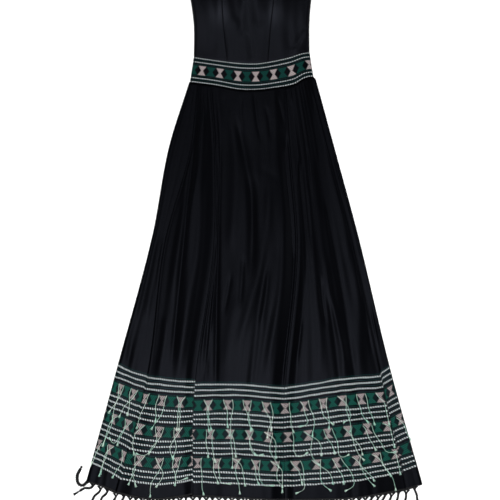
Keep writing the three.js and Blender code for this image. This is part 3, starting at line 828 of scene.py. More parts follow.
@dataclass(frozen=True)
class BorderLayout:
    """Where the woven lines and motif rows lie above the hem, in metres."""

    first_group: float = 0.048
    repeat: float = 0.0756
    stripe_pitch: float = 0.0138
    motif_above: float = 0.0362
    groups: int = 4
    waver: float = 0.007
    waver_scale: tuple[float, float, float] = (22.0, 30.0, 1.0)
    phases: tuple[float, float, float] = (0.5, 0.15, 0.0)
    fine_lines: tuple[float, ...] = (-0.5, 0.5, 1.45, 3.78)
    fine_share: float = 0.9
    row_share: float = 0.12
    line_share: float = 0.12
    float_share: float = 0.86

    def top(self) -> float:
        """Where the uppermost fine line ends."""
        return self.first_group + (self.groups - 1) * self.repeat + 1.9 * self.stripe_pitch


BLUE_SHINE = (0.72, 0.78, 1.0, 1.0)
FINE_HALF_WIDTH = 0.0011
FINE_PITCH = 0.0041
GROUND_ROUGHNESS = 0.38
STREAK_ROUGHNESS = 0.1
WEAVE_RELIEF = 0.00012
PATTERN_RELIEF = 3.0
PATTERN_ROUGHNESS = 0.75


@dataclass(frozen=True)
class PlainCloth:
    """Black satin-faced cotton without a pattern."""

    name: str = "black_cloth"
    thread: float = 0.0007
    shine: float = 0.028

    def material(self) -> bpy.types.Material:
        """Builds the material.

        Returns:
            The finished material.
        """
        finish = Finish(self.name)
        base, height, rough = black_ground(finish, self.thread)
        finish.set(Base_Color=base, Roughness=rough, Specular_IOR_Level=self.shine, Specular_Tint=BLUE_SHINE)
        finish.bump(height, WEAVE_RELIEF, 0.15)
        return finish.material


def black_ground(finish: Finish, thread: float) -> tuple[Socket, Socket, Socket]:
    """The ground cloth's colour, height and roughness.

    Args:
        finish: the material in the making.
        thread: one thread's width in metres.

    Returns:
        The three outputs.
    """
    tree = finish.tree
    weave = finish.put(GROUPS.weave, Cloth=finish.cloth, Thread=thread)
    shade = tree.math("MULTIPLY_ADD", weave["Shade"], 0.9, -0.1, clamp=True)
    streaked = tree.math("MULTIPLY_ADD", weave["Streak"], 0.5, tree.math("MULTIPLY", shade, 0.6), clamp=True)
    base = tree.mix(streaked, YARNS.black, YARNS.black_light)
    height = tree.math("MULTIPLY_ADD", weave["Streak"], 1.4, weave["Height"])
    rough = tree.math("MULTIPLY_ADD", weave["Streak"], STREAK_ROUGHNESS, GROUND_ROUGHNESS)
    return base, height, rough


@dataclass(frozen=True)
class BorderCloth:
    """The skirt's cloth: plain black above, and woven lines and motif rows near the hem."""

    layout: BorderLayout = BorderLayout()
    thread: float = 0.0007
    shine: float = 0.028

    def material(self) -> bpy.types.Material:
        """Builds the material.

        Returns:
            The finished material.
        """
        finish = Finish("black_cloth_with_woven_border")
        tree = finish.tree
        layout = self.layout
        base, height, rough = black_ground(finish, self.thread)
        u, v = tree.parts(finish.cloth)
        waver = tree.noise(tree.stretched(finish.cloth, layout.waver_scale), 1.0, 3.0)
        v = tree.math("ADD", v, tree.math("MULTIPLY", tree.math("SUBTRACT", waver, 0.5), layout.waver))
        count = tree.math("DIVIDE", u, MOTIF_PITCH * MM)
        reach = tree.math("DIVIDE", tree.math("SUBTRACT", v, layout.first_group), layout.repeat)
        repeats = tree.math("FLOOR", tree.math("ADD", reach, 0.25))
        repeats = tree.math("MINIMUM", tree.math("MAXIMUM", repeats, 0.0), layout.groups - 1.0)
        local = tree.math("MULTIPLY", tree.math("SUBTRACT", reach, repeats), layout.repeat)

        lines, floats = 0.0, 0.0
        for step in (-1, 0, 1):
            offset = tree.math("SUBTRACT", local, step * layout.stripe_pitch)
            drawn = finish.put(GROUPS.dashes, Along=u, Offset=offset)
            lines = tree.math("ADD", lines, drawn["Line"])
            floats = tree.math("ADD", floats, drawn["Float"])
        fine = 0.0
        for place in layout.fine_lines:
            offset = tree.math("SUBTRACT", local, place * layout.stripe_pitch)
            fine = tree.math("ADD", fine, finish.fine_line(u, offset))

        phase = self._phase(tree, repeats)
        motif_offset = tree.math("SUBTRACT", local, layout.motif_above)
        motifs = finish.put(GROUPS.motifs, Count=tree.math("SUBTRACT", count, phase), Offset=motif_offset)
        below_top = tree.math("LESS_THAN", repeats, layout.groups - 1.5)
        pale = tree.math("MULTIPLY", motifs["Pale"], below_top)
        green = tree.math("MULTIPLY", motifs["Green"], below_top)
        row = tree.math("MULTIPLY", motifs["Row"], below_top)
        fine = tree.math("MULTIPLY", fine, tree.math("LESS_THAN", v, layout.top()))

        threads = finish.put(GROUPS.hatch, Cloth=finish.cloth)
        hatch = threads["Hatch"]
        colour = tree.mix(tree.math("MULTIPLY", row, layout.row_share), base, YARNS.deep_green)
        thin = tree.math("MULTIPLY", fine, layout.fine_share, clamp=True)
        colour = tree.mix(thin, colour, YARNS.deep_green)
        colour = tree.mix(tree.math("MULTIPLY", green, hatch), colour, YARNS.green)
        colour = tree.mix(tree.math("MULTIPLY", pale, hatch), colour, YARNS.pale)
        beads = tree.math("MULTIPLY", floats, layout.float_share)
        shown = tree.math("MULTIPLY_ADD", lines, layout.line_share, beads)
        colour = tree.mix(tree.math("MULTIPLY", shown, threads["Worn"], clamp=True), colour, YARNS.stripe)
        pattern = tree.math("ADD", floats, tree.math("ADD", pale, green), clamp=True)
        finish.set(
            Base_Color=colour,
            Roughness=tree.blend(pattern, rough, PATTERN_ROUGHNESS),
            Specular_IOR_Level=self.shine,
            Specular_Tint=BLUE_SHINE,
        )
        finish.bump(tree.math("MULTIPLY_ADD", pattern, PATTERN_RELIEF, height), WEAVE_RELIEF, 0.2)
        return finish.material

    def _phase(self, tree: Tree, repeats: Socket) -> Socket:
        """How far along each motif row is shifted, in motif pitches.

        Args:
            tree: the builder.
            repeats: which motif row, from the lowest.

        Returns:
            The shift in pitches.
        """
        low, middle, high = self.layout.phases
        first = tree.blend(tree.math("GREATER_THAN", repeats, 0.5), low, middle)
        return tree.blend(tree.math("GREATER_THAN", repeats, 1.5), first, high)


@dataclass(frozen=True)
class BandCloth:
    """The waistband: one motif row between two pairs of woven lines."""

    pitch: float = 0.0465
    inner_line: float = 0.0218
    outer_line: float = 0.0328
    fine_line: float = 0.0160
    fine_share: float = 0.8
    line_share: float = 0.1
    float_share: float = 0.9
    line_half_width: float = 0.0012
    float_pitch: float = 0.0060
    pale_width: float = 0.0100
    green_width: float = 0.0122
    hatch_depth: float = 0.28
    thread: float = 0.0008
    roughness: float = 0.78
    shine: float = 0.035

    def material(self) -> bpy.types.Material:
        """Builds the material. The cloth's first coordinate counts motifs in metres of pitch.

        Returns:
            The finished material.
        """
        finish = Finish("woven_band")
        tree = finish.tree
        base, height, rough = black_ground(finish, self.thread)
        u, v = tree.parts(finish.cloth)
        mirrored = tree.math("ABSOLUTE", v)
        sizes = {"Half_width": self.line_half_width, "Float_pitch": self.float_pitch}
        floats, fine = 0.0, 0.0
        for place in (self.inner_line, self.outer_line):
            offset = tree.math("SUBTRACT", mirrored, place)
            drawn = finish.put(GROUPS.dashes, Along=u, Offset=offset, **sizes)
            beads = tree.math("MULTIPLY", drawn["Float"], self.float_share)
            shown = tree.math("MULTIPLY_ADD", drawn["Line"], self.line_share, beads)
            floats = tree.math("ADD", floats, shown)
        for place in (self.fine_line, (self.inner_line + self.outer_line) / 2):
            fine = tree.math("ADD", fine, finish.fine_line(u, tree.math("SUBTRACT", mirrored, place)))
        motifs = finish.put(
            GROUPS.motifs,
            Count=tree.math("DIVIDE", u, self.pitch),
            Offset=v,
            Pitch=self.pitch,
            Pale_width=self.pale_width,
            Green_width=self.green_width,
        )
        threads = finish.put(GROUPS.hatch, Cloth=finish.cloth, Depth=self.hatch_depth)
        hatch = threads["Hatch"]
        green = tree.mix(threads["Worn"], YARNS.band_green, YARNS.band_green_light)
        colour = tree.mix(tree.math("MULTIPLY", fine, self.fine_share, clamp=True), base, YARNS.deep_green)
        colour = tree.mix(tree.math("MULTIPLY", motifs["Green"], hatch), colour, green)
        colour = tree.mix(tree.math("MULTIPLY", motifs["Pale"], hatch), colour, YARNS.pale)
        colour = tree.mix(tree.math("MULTIPLY", floats, threads["Worn"], clamp=True), colour, YARNS.stripe)
        pattern = tree.math("ADD", floats, tree.math("ADD", motifs["Pale"], motifs["Green"]), clamp=True)
        finish.set(Base_Color=colour, Roughness=tree.blend(pattern, rough, self.roughness))
        finish.set(Specular_IOR_Level=self.shine, Specular_Tint=BLUE_SHINE)
        finish.bump(tree.math("MULTIPLY_ADD", pattern, PATTERN_RELIEF, height), WEAVE_RELIEF, 0.2)
        return finish.material


@dataclass(frozen=True)
class YarnFinish:
    """Twisted yarn, seen as slanting plies along a strand, with painted shade that darkens the grooves
    between the plies.
    """

    name: str
    dark: Colour
    light: Colour
    plies: float
    roughness: float = 0.75
    patch: float = 45.0
    fuzz: float = 2600.0
    relief: float = 0.0002
    shine: float = 0.03

    def material(self) -> bpy.types.Material:
        """Builds the material. The cloth's coordinates run along the strand and round it.

        Returns:
            The finished material.
        """
        finish = Finish(self.name)
        tree = finish.tree
        along, around = tree.parts(finish.cloth)
        turn = tree.math("MULTIPLY_ADD", along, self.plies, around)
        ply = tree.math("SINE", tree.math("MULTIPLY", turn, 2 * math.pi))
        raised = tree.math("MULTIPLY_ADD", ply, 0.5, 0.5)
        position = tree.node("ShaderNodeTexCoord").outputs["Object"]
        patch = tree.noise(position, self.patch, 4.0, 0.6)
        share = tree.math("MULTIPLY_ADD", patch, 2.6, -0.8, clamp=True)
        # painted shade: the colour is darkest in the grooves between the plies and lightest along their
        # raised crests; the patches are random tone
        twist = tree.math("MULTIPLY_ADD", raised, 0.4, 0.6)
        colour = tree.mix(tree.math("MULTIPLY", share, twist), self.dark, self.light)
        fuzz = tree.noise(position, self.fuzz, 2.0)
        finish.set(Base_Color=colour, Roughness=self.roughness, Specular_IOR_Level=self.shine)
        finish.bump(tree.math("ADD", raised, fuzz), self.relief, 0.5)
        return finish.material


@dataclass(frozen=True)
class FloorFinish:
    """The plain pale floor."""

    colour: Colour = (0.86, 0.86, 0.86)
    darker: float = 0.985
    roughness: float = 0.8
    shine: float = 0.1

    def material(self) -> bpy.types.Material:
        """Builds the material.

        Returns:
            The finished material.
        """
        finish = Finish("pale_floor")
        tree = finish.tree
        position = tree.node("ShaderNodeTexCoord").outputs["Object"]
        patch = tree.noise(position, 3.0, 3.0)
        shade = tree.mix(patch, self.colour, tuple(c * self.darker for c in self.colour))
        finish.set(Base_Color=shade, Roughness=self.roughness, Specular_IOR_Level=self.shine)
        return finish.material


# ---- the skirt ----


class Side(Enum):
    """Which side of a pleat lies on top."""

    LEFT = "left"
    RIGHT = "right"


@dataclass(frozen=True)
class ThreadRow:
    """One thread line down a panel: its motif count, its place across at each level, and two heights."""

    count: float
    waist: float
    seat: float
    hip: float
    band: float
    hem: float
    band_y: float
    hem_y: float


@dataclass(frozen=True)
class Panel:
    """The cloth between two pleats."""

    name: str
    rows: tuple[ThreadRow, ...]
    belly: tuple[float, float, float, float, float]
    slopes: tuple[float, float]
    columns: int
    hem_drift: float = 0.0
    border_rise: tuple[float, float] = (0.0, 0.0)


@dataclass(frozen=True)
class Pleat:
    """A pleat's hidden return and how far round the cloth goes in degrees, at each level."""

    upper: Side
    depth: tuple[float, float, float, float, float]
    turn: tuple[float, float, float, float, float]


PANELS = (
    Panel(
        "corner",
        (
            ThreadRow(0.25, -163, -217, -261, -351, -431, -722, -1017),
            ThreadRow(1.4, -151, -191, -245, -316, -398, -735, -1024),
            ThreadRow(2.55, -140, -162, -227, -272, -352, -748, -1042),
        ),
        (3, 4, 6, 8, 10),
        (50, 70),
        34,
        border_rise=(17, 0),
    ),
    Panel(
        "left",
        (
            ThreadRow(2.95, -140, -162, -227, -272, -350, -751, -1045),
            ThreadRow(4.3, -123, -130, -173, -212, -255, -757, -1060),
            ThreadRow(5.62, -110, -98, -101, -149, -154, -762, -1050),
        ),
        (3, 4, 5, 5, 6),
        (40, 24),
        84,
        hem_drift=1.57,
    ),
    Panel(
        "centre",
        (
            ThreadRow(6.27, -110, -98, -101, -149, -154, -770, -1053),
            ThreadRow(7.4, -84, -74, -78, -93, -99, -768, -1054),
            ThreadRow(8.55, -10, -4, -1, -33, -39, -767, -1056),
            ThreadRow(10.95, 87, 101, 118, 86, 83, -778, -1063),
        ),
        (3, 6, 8, 8, 8),
        (110, 34),
        104,
    ),
    Panel(
        "right",
        (
            ThreadRow(11.03, 87, 101, 118, 86, 83, -778, -1063),
            ThreadRow(13.95, 119, 148, 178, 224, 260, -757, -1057),
            ThreadRow(16.2, 150, 196, 260, 335, 400, -749, -1036),
        ),
        (3, 6, 8, 9, 8),
        (24, 120),
        108,
        hem_drift=0.84,
        border_rise=(0, 12),
    ),
    Panel(
        "side",
        (
            ThreadRow(16.65, 150, 196, 260, 335, 400, -741, -1035),
            ThreadRow(17.35, 166, 214, 278, 360, 443, -727, -1024),
        ),
        (1, 2, 3, 5, 6),
        (40, 60),
        22,
        border_rise=(12, 14),
    ),
)

PLEATS = (
    Pleat(Side.RIGHT, (2, 2, 3, 4, 6), (20, 20, 25, 35, 50)),
    Pleat(Side.RIGHT, (16, 16, 16, 16, 15), (180, 180, 180, 180, 180)),
    Pleat(Side.LEFT, (15, 14, 12, 4, 3), (180, 180, 180, 90, 60)),
    Pleat(Side.LEFT, (2, 2, 2, 5, 12), (20, 20, 20, 60, 180)),
)

CREASES = (
    Crease(-135, -18, -206, -680, -2, 2.4, 6),
    Crease(-135, -36, -192, -728, 4, -4, 12),
    Crease(-322, -740, -372, -1030, 0, 6, 14),
    Crease(-47, -60, -4, -480, 22, 2.6, 10),
    Crease(-86, -117, -94, -760, 0, 3, 6),
    Crease(42, -400, -25, -1053, -8, 2.2, 10),
    Crease(52, -535, -12, -1053, -8, 1.6, 9),
    Crease(94, -20, 121, -190, 0, 5, 7),
    Crease(72, -80, 70, -780, 34, 4, 15),
    Crease(151, 20, 312, -1045, 0, 3, 10),
    Crease(196, -500, 262, -1050, 0, 2.5, 9),
)

FOLDS = (
    Fold(((-112, -5), (-109, -39), (-105, -91), (-101, -182), (-99, -286), (-96, -390)), -4.2, 2.4),
    Fold(
        ((-99, -21), (-96, -104), (-94, -208), (-91, -299), (-94, -377), (-104, -463), (-114, -546),
         (-125, -637), (-133, -741)),
        2,
        5,
    ),
    Fold(
        ((-129, -26), (-130, -130), (-133, -234), (-136, -338), (-143, -429), (-157, -520),
         (-170, -619), (-183, -733)),
        4.2,
        13,
    ),
    Fold(
        ((-91, -78), (-87, -156), (-86, -234), (-90, -338), (-91, -442), (-101, -546), (-112, -650),
         (-122, -749)),
        1.6,
        3,
    ),
    Fold(((-159, -156), (-169, -234), (-182, -338), (-195, -437), (-208, -533)), 1.6, 9),
    Fold(((-239, -390), (-250, -455), (-265, -533), (-276, -598)), 2, 9),
    Fold(((-304, -585), (-315, -650), (-322, -715)), -1.6, 6),
    Fold(((-224, -593), (-229, -650), (-244, -741)), 2.2, 10),
    Fold(((-57, -52), (-47, -130), (-42, -221), (-47, -325), (-57, -416)), 2.2, 14),
    Fold(((0, -229), (3, -273), (0, -325), (-3, -390), (-8, -463)), -3.4, 14),
    Fold(
        ((47, -239), (44, -286), (39, -338), (31, -406), (21, -473), (5, -525), (-16, -598), (-34, -663)),
        2.6,
        13,
    ),
    Fold(((81, -343), (78, -447), (73, -520), (62, -593), (49, -663), (39, -741)), 2, 9),
    Fold(((88, -135), (88, -195), (91, -260), (98, -307), (104, -359), (108, -421)), -1.6, 6),
    Fold(((91, -10), (96, -36), (103, -70), (109, -109), (116, -156), (118, -234)), -4.4, 3),
    Fold(((26, -203), (47, -218), (68, -239)), -0.7, 14),
    Fold(
        ((88, -18), (94, -57), (101, -156), (107, -247), (117, -338), (120, -416), (117, -494),
         (109, -585), (99, -676), (88, -749)),
        1.8,
        4,
    ),
    Fold(((127, -603), (122, -655), (114, -707)), 2.2, 5),
    Fold(((143, -156), (146, -208), (148, -260)), -1.2, 5),
    Fold(((151, -377), (161, -468), (166, -546), (174, -637), (179, -741)), 2, 10),
    Fold(((179, -494), (182, -541), (187, -577), (192, -608)), -2.2, 6),
    Fold(((195, -447), (200, -520), (213, -577), (226, -629), (237, -681), (239, -749)), 2, 8),
    Fold(
        ((159, -21), (169, -88), (182, -156), (187, -229), (198, -302), (205, -359), (213, -406)),
        -2.4,
        6,
    ),
    Fold(((174, -177), (179, -247), (187, -317)), -1.6, 10),
    Fold(((213, -156), (229, -260), (242, -351), (252, -447)), 2, 12),
    Fold(((263, -447), (276, -546), (278, -650), (281, -741)), 2.4, 14),
    Fold(((283, -432), (299, -489), (312, -559), (320, -637), (328, -707)), 1.6, 5),
    Fold(((302, -551), (307, -611), (309, -676)), -1.4, 5),
    Fold(((-55, -484), (-62, -525), (-73, -577)), -1.8, 5),
    Fold(((-23, -437), (-26, -494), (-31, -556)), -2, 6),
    Fold(((42, -473), (34, -546), (21, -611)), 1.6, 6),
    Fold(((-42, -546), (-57, -624), (-68, -715)), 1.2, 14),
    Fold(((-112, -624), (-117, -681), (-120, -744)), -1.4, 5),
    Fold(((5, -10), (10, -57), (16, -99), (26, -135)), -1.4, 5),
    Fold(((36, -47), (44, -83), (49, -125)), -1.2, 6),
    Fold(((-26, -21), (-29, -57), (-23, -99)), -1, 4),
    Fold(((-73, -18), (-68, -36), (-57, -57)), -1, 5),
    Fold(((65, -21), (75, -57), (81, -88)), -1.2, 5),
)


def border_ramp(down: Array) -> Array:
    """0 above the woven border, and a rise to 1 at the hem."""
    return np.clip((down - BORDER_TOP) / (1 - BORDER_TOP), 0, 1) ** 1.6


@dataclass
class SkirtFront:
    """The skirt's front wall, drawn from its panels and pleats. Sizes are shares of its length."""

    yoke: float = 0.06
    upper: float = 0.3
    last_row: float = 0.9994
    loft_ends: float = 0.16
    level_curves: list[Curve] = field(init=False)

    def __post_init__(self) -> None:
        """Works out how much each level counts at any share of the length."""
        count = len(LEVELS)
        self.level_curves = [Curve(LEVELS, tuple(float(i == k) for i in range(count))) for k in range(count)]

    def level_weights(self, down: Array) -> Array:
        """How much each level counts, one row for each place down the skirt."""
        return np.stack([curve.at(down) for curve in self.level_curves], axis=-1)

    def pleat_profile(self, pleat: Pleat, edge: Array, down: Array) -> Array:
        """Points across a pleat whose fold shows at x = edge.

        Args:
            pleat: the pleat.
            edge: where its fold shows at each place down the skirt.
            down: those places, as shares of the length.

        Returns:
            Rows by points by x and z, from left to right along the cloth.
        """
        weights = self.level_weights(np.clip(down, 0, 1))
        depth = np.maximum(weights @ np.array(pleat.depth), 1)
        angle = np.radians(np.clip(weights @ np.array(pleat.turn), 20, 180))
        sign = 1 if pleat.upper is Side.RIGHT else -1
        under = np.maximum(1, FOLD_LEAD + FOLD_RADIUS - depth * np.cos(angle))
        advance = under + 2 * FOLD_RADIUS * np.sin(angle) + depth * np.cos(angle)
        x = edge * sign + FOLD_RADIUS - advance
        z = np.full_like(x, LOW)
        heading = np.zeros_like(x)
        points = [(x, z)]

        def forward(length: Array) -> None:
            """Goes on along the heading.

            Args:
                length: how far, at each place down the skirt.
            """
            nonlocal x, z
            x = x + length * np.cos(heading)
            z = z + length * np.sin(heading)
            points.append((x, z))

        def bend(total: Array) -> None:
            """Turns through an angle on the fold's radius.

            Args:
                total: the angle in radians, upward where it is positive.
            """
            nonlocal heading
            step = total / FOLD_STEPS
            chord = 2 * FOLD_RADIUS * np.sin(np.abs(step) / 2)
            for _ in range(FOLD_STEPS):
                heading = heading + step / 2
                forward(chord)
                heading = heading + step / 2

        forward(under)
        bend(angle)
        forward(depth)
        bend(-angle)
        profile = np.stack([np.stack(p, axis=-1) for p in points], axis=1)
        if sign < 0:
            profile = profile[:, ::-1] * np.array([-1.0, 1.0])
        return profile

    def thread_line(self, panel: Panel, count: Array, down: Array) -> tuple[Array, Array]:
        """Where thread lines lie, as x and y, rows by columns.

        Args:
            panel: the panel.
            count: the lines' motif counts.
            down: shares of the skirt's length.

        Returns:
            The two arrays.
        """
        counts = [row.count for row in panel.rows]

        def column(name: str) -> Array:
            """One column of the panel's table at the counts."""
            return Curve(counts, [getattr(row, name) for row in panel.rows]).at(count)

        waist = column("waist")
        top = LOWER_SEAM_Y.at(waist) - SEAM_GAP
        band_y = column("band_y")
        across = np.stack([waist, column("seat"), column("hip"), column("band"), column("hem")])
        upper = [lerp(top, band_y, level / BAND_LEVEL) for level in LEVELS[:4]]
        heights = np.stack([*upper, column("hem_y")])
        weights = self.level_weights(down)
        if across.ndim == 2:
            return weights @ across, weights @ heights
        return np.einsum("rk,krc->rc", weights, across), np.einsum("rk,krc->rc", weights, heights)

    def edge_line(self, panel: Panel, last: bool, down: Array) -> Array:
        """Where a panel's first or last thread line lies across."""
        row = panel.rows[-1 if last else 0]
        return self.thread_line(panel, np.array([row.count]), down)[0][:, 0]

    def panel_points(self, index: int, shares: Array, down: Array) -> tuple[Array, Array]:
        """Points in the middle of the wall across one panel.

        Args:
            index: which panel, from the left.
            shares: places across it, from 0 to 1.
            down: shares of the skirt's length.

        Returns:
            Rows by columns by three points in millimetres, and their cloth coordinates in metres.
        """
        panel = PANELS[index]
        start, end = self.edge_line(panel, False, down), self.edge_line(panel, True, down)
        left_x, left_z, right_x, right_z = start, np.full_like(start, LOW), end, np.full_like(end, LOW)
        if index > 0:
            profile = self.pleat_profile(PLEATS[index - 1], start, down)
            left_x, left_z = profile[:, -1, 0], profile[:, -1, 1]
        if index < len(PLEATS):
            profile = self.pleat_profile(PLEATS[index], end, down)
            right_x, right_z = profile[:, 0, 0], profile[:, 0, 1]
        count = lerp(panel.rows[0].count, panel.rows[-1].count, shares)
        x, y = self.thread_line(panel, count, down)
        s = shares[None, :]
        x = x + lerp((left_x - start)[:, None], (right_x - end)[:, None], s)
        belly = self.level_weights(np.clip(down, 0, 1)) @ np.array(panel.belly)
        from_left, from_right = x - left_x[:, None], right_x[:, None] - x
        rise = smoothstep(from_left, 0, panel.slopes[0]) * smoothstep(from_right, 0, panel.slopes[1])
        crown = belly[:, None] * rise
        free = smoothstep(from_left, 0, PLEAT_EASE) * smoothstep(from_right, 0, PLEAT_EASE)
        level = lerp(left_z[:, None], right_z[:, None], smoothstep(s, 0, 1)) - LOW
        cloth = self.cloth_place(panel, s, down[:, None])
        small = sum(fold.height_at(x, y) for fold in FOLDS)
        small = small - self.ripples(cloth[..., 0] / MM, cloth[..., 1] / MM)
        raised = level + crown + free * (small - troughs(CREASES, x, y))
        z = LOW + lerp(level, soften(raised), free)
        seam = LOW - SEAM_RISE
        if index == 0:
            z = rolled(z + EDGE_SWELL * (1 - smoothstep(s, 0.1, 0.4)), from_left, seam)
        if index == len(PANELS) - 1:
            z = rolled(z + EDGE_SWELL * smoothstep(s, 0.6, 0.9), from_right, seam)
        return np.stack([x, y, z], axis=-1), cloth

    @staticmethod
    def cloth_place(panel: Panel, share: Array, down: Array) -> Array:
        """Cloth coordinates in metres: motif counts along the hem, and the height above the hem.

        Args:
            panel: the panel.
            share: places across it, from 0 to 1.
            down: shares of the skirt's length.

        Returns:
            One pair for each place.
        """
        ramp = border_ramp(down)
        count = lerp(panel.rows[0].count, panel.rows[-1].count, share) + panel.hem_drift * share**2 * ramp
        rise = lerp(panel.border_rise[0], panel.border_rise[1], share) * (0.2 + 0.8 * ramp)
        above = np.broadcast_to((1 - down) * SKIRT_LENGTH - rise, count.shape) * MM
        return np.stack([count * MOTIF_PITCH * MM, above], axis=-1)

    @staticmethod
    def ripples(u: Array, v: Array) -> Array:
        """The cloth's slight unevenness, longer down the skirt than across it.

        Args:
            u: millimetres along the cloth.
            v: millimetres above the hem.

        Returns:
            Heights in millimetres.
        """
        drift = 9 * np.sin(v / 210 + 0.6) + 5 * np.sin(v / 97 + u / 160)
        broad = np.sin((u + drift) / 7.9 + 0.4) * np.sin(v / 260 + u / 90)
        middling = np.sin((u - drift) / 4.6 + 1.9) * np.sin(v / 150 - u / 60 + 1.0)
        return 0.35 * broad + 0.2 * middling

    def section(self, down: Array) -> tuple[Array, Array]:
        """All points across the skirt front, pleats included, and their cloth coordinates.

        Args:
            down: shares of the skirt's length.

        Returns:
            Points and cloth coordinates, a row for each place.
        """
        points, cloths = [], []
        for index, panel in enumerate(PANELS):
            shares = self.shares(index)
            panel_points, panel_cloth = self.panel_points(index, shares, down)
            points.append(panel_points)
            cloths.append(panel_cloth)
            if index == len(PLEATS):
                break
            profile = self.pleat_profile(PLEATS[index], self.edge_line(panel, True, down), down)
            nxt_points, nxt_cloth = self.panel_points(index + 1, np.array([0.0]), down)
            steps = np.cumsum(np.linalg.norm(np.diff(profile, axis=1), axis=2), axis=1)
            part = (steps / steps[:, -1:])[:, :-1]
            y = lerp(panel_points[:, -1:, 1], nxt_points[:, :, 1], part)
            points.append(np.stack([profile[:, 1:-1, 0], y, profile[:, 1:-1, 1]], axis=-1))
            cloths.append(lerp(panel_cloth[:, -1:], nxt_cloth, part[..., None]))
        return np.concatenate(points, axis=1), np.concatenate(cloths, axis=1)

    @staticmethod
    def shares(index: int) -> Array:
        """Shares across a panel, closer together beside a side seam.

        Args:
            index: which panel, from the left.

        Returns:
            The shares, from 0 to 1.
        """
        s = np.linspace(0, 1, PANELS[index].columns + 1)
        if index == 0:
            return s**1.5
        if index == len(PANELS) - 1:
            return 1 - (1 - s) ** 1.5
        return s

    def grid(self, down: Array) -> tuple[Array, Array]:
        """The skirt front's points, with its top edge brought to the waist seam.

        Args:
            down: shares of the skirt's length.

        Returns:
            Points and cloth coordinates, a row for each place.
        """
        points, cloth = self.section(down)
        top = self.section(np.array([0.0]))[0][0]
        seam_y = LOWER_SEAM_Y.at(top[:, 0]) - SEAM_GAP
        eased = 1 - smoothstep(down, 0, BAND_LEVEL)
        points[..., 1] += (seam_y - top[:, 1])[None, :] * eased[:, None]
        low_x, high_x = WAIST_SEAMS[0].lower_x, WAIST_SEAMS[-1].lower_x
        loft = LOWER_SEAM_LOFT.at(np.clip(points[..., 0], low_x, high_x))
        points[..., 2] += loft * (1 - smoothstep(down, 0, self.loft_ends))[:, None]
        return points, cloth

    def build(self, material: bpy.types.Material) -> bpy.types.Object:
        """Makes the skirt front.

        Args:
            material: what it is made of.

        Returns:
            The new piece.
        """
        yoke, upper = np.linspace(0, self.yoke, 9)[:-1], np.linspace(self.yoke, self.upper, 30)[:-1]
        down = np.concatenate([yoke, upper, np.linspace(self.upper, self.last_row, 61), [1.0]])
        points, cloth = self.grid(down)
        piece = MeshMaker.merged("skirt_front_cloth", [MeshMaker.wall(points, cloth, CLOTH)])
        finish_piece(piece, material, "skirt_front")
        return piece


def finish_piece(piece: bpy.types.Object, material: bpy.types.Material, node: str) -> None:
    """Dresses a piece, rides it on the dress and lets it stand for its solid.

    Args:
        piece: the piece.
        material: what it is made of.
        node: the solid it stands for.
    """
    piece.data.materials.append(material)
    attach(piece, BODY)
    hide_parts(node)


# ---- what lies under the front ----

BACK_INSET = 0.8


@dataclass(frozen=True)
class BackRow:
    """One level across a flat piece: its two ends and its height as a share across."""

    left: float
    right: float
    y: Callable[[Array], Array]


def flat_grid(rows: Sequence[BackRow], columns: int) -> Array:
    """Points in the middle of a flat wall on the surface.

    Args:
        rows: the levels, from the top down.
        columns: how many faces go across.

    Returns:
        Rows by columns by three.
    """
    share = np.linspace(0, 1, columns + 1)
    z = np.full_like(share, BACK_CLOTH / 2)
    return np.stack(
        [np.stack([lerp(row.left, row.right, share), row.y(share), z], axis=-1) for row in rows]
    )


BACK_HEM = Curve(
    (-433, -398, -350, -255, -154, -39, 83, 260, 400, 445),
    (-1017, -1029, -1050, -1064, -1058, -1061, -1067, -1062, -1042, -1025),
)


@dataclass
class SkirtBack:
    """The skirt's back wall, flat on the surface, between the front's side edges."""

    front: SkirtFront
    rows: int = 60
    columns: int = 90
    counts: tuple[float, float] = (0.2, 17.4)

    def row(self, down: float) -> BackRow:
        """The back's two ends and its height at a share of the length.

        Args:
            down: the share of the length.

        Returns:
            The level.
        """
        at = np.array([down])
        left_x, left_y = self.front.thread_line(PANELS[0], np.array([PANELS[0].rows[0].count]), at)
        right_x, right_y = self.front.thread_line(PANELS[-1], np.array([PANELS[-1].rows[-1].count]), at)
        low, high = BACK_HEM.knots[0], BACK_HEM.knots[-1]

        def height(share: Array) -> Array:
            """The height across the row.

            Args:
                share: places across, from 0 to 1.

            Returns:
                Heights in millimetres.
            """
            hem = BACK_HEM.at(lerp(low, high, share)) - lerp(BACK_HEM.values[0], BACK_HEM.values[-1], share)
            waist = BACK_SAG * (1 - (2 * share - 1) ** 2)
            return lerp(left_y[0, 0], right_y[0, 0], share) + lerp(waist, hem, down)

        return BackRow(left_x[0, 0] + BACK_INSET, right_x[0, 0] - BACK_INSET, height)

    def build(self, material: bpy.types.Material) -> bpy.types.Object:
        """Makes the skirt back.

        Args:
            material: what it is made of.

        Returns:
            The new piece.
        """
        down = np.linspace(0, 1, self.rows)
        points = flat_grid([self.row(d) for d in down], self.columns)
        share = np.linspace(0, 1, self.columns + 1)
        count = np.broadcast_to(lerp(*self.counts, share), points.shape[:2])
        above = np.broadcast_to(((1 - down) * SKIRT_LENGTH * MM)[:, None], count.shape)
        cloth = np.stack([count * MOTIF_PITCH * MM, above], axis=-1)
        piece = MeshMaker.merged("skirt_back_cloth", [MeshMaker.wall(points, cloth, BACK_CLOTH)])
        finish_piece(piece, material, "skirt_back")
        return piece


# ---- waistband ----

BAND_LOW = BACK_CLOTH + SEAM_GAP + BAND_CLOTH / 2 + 0.2
BAND_RISE = 2 * FOLD_RADIUS


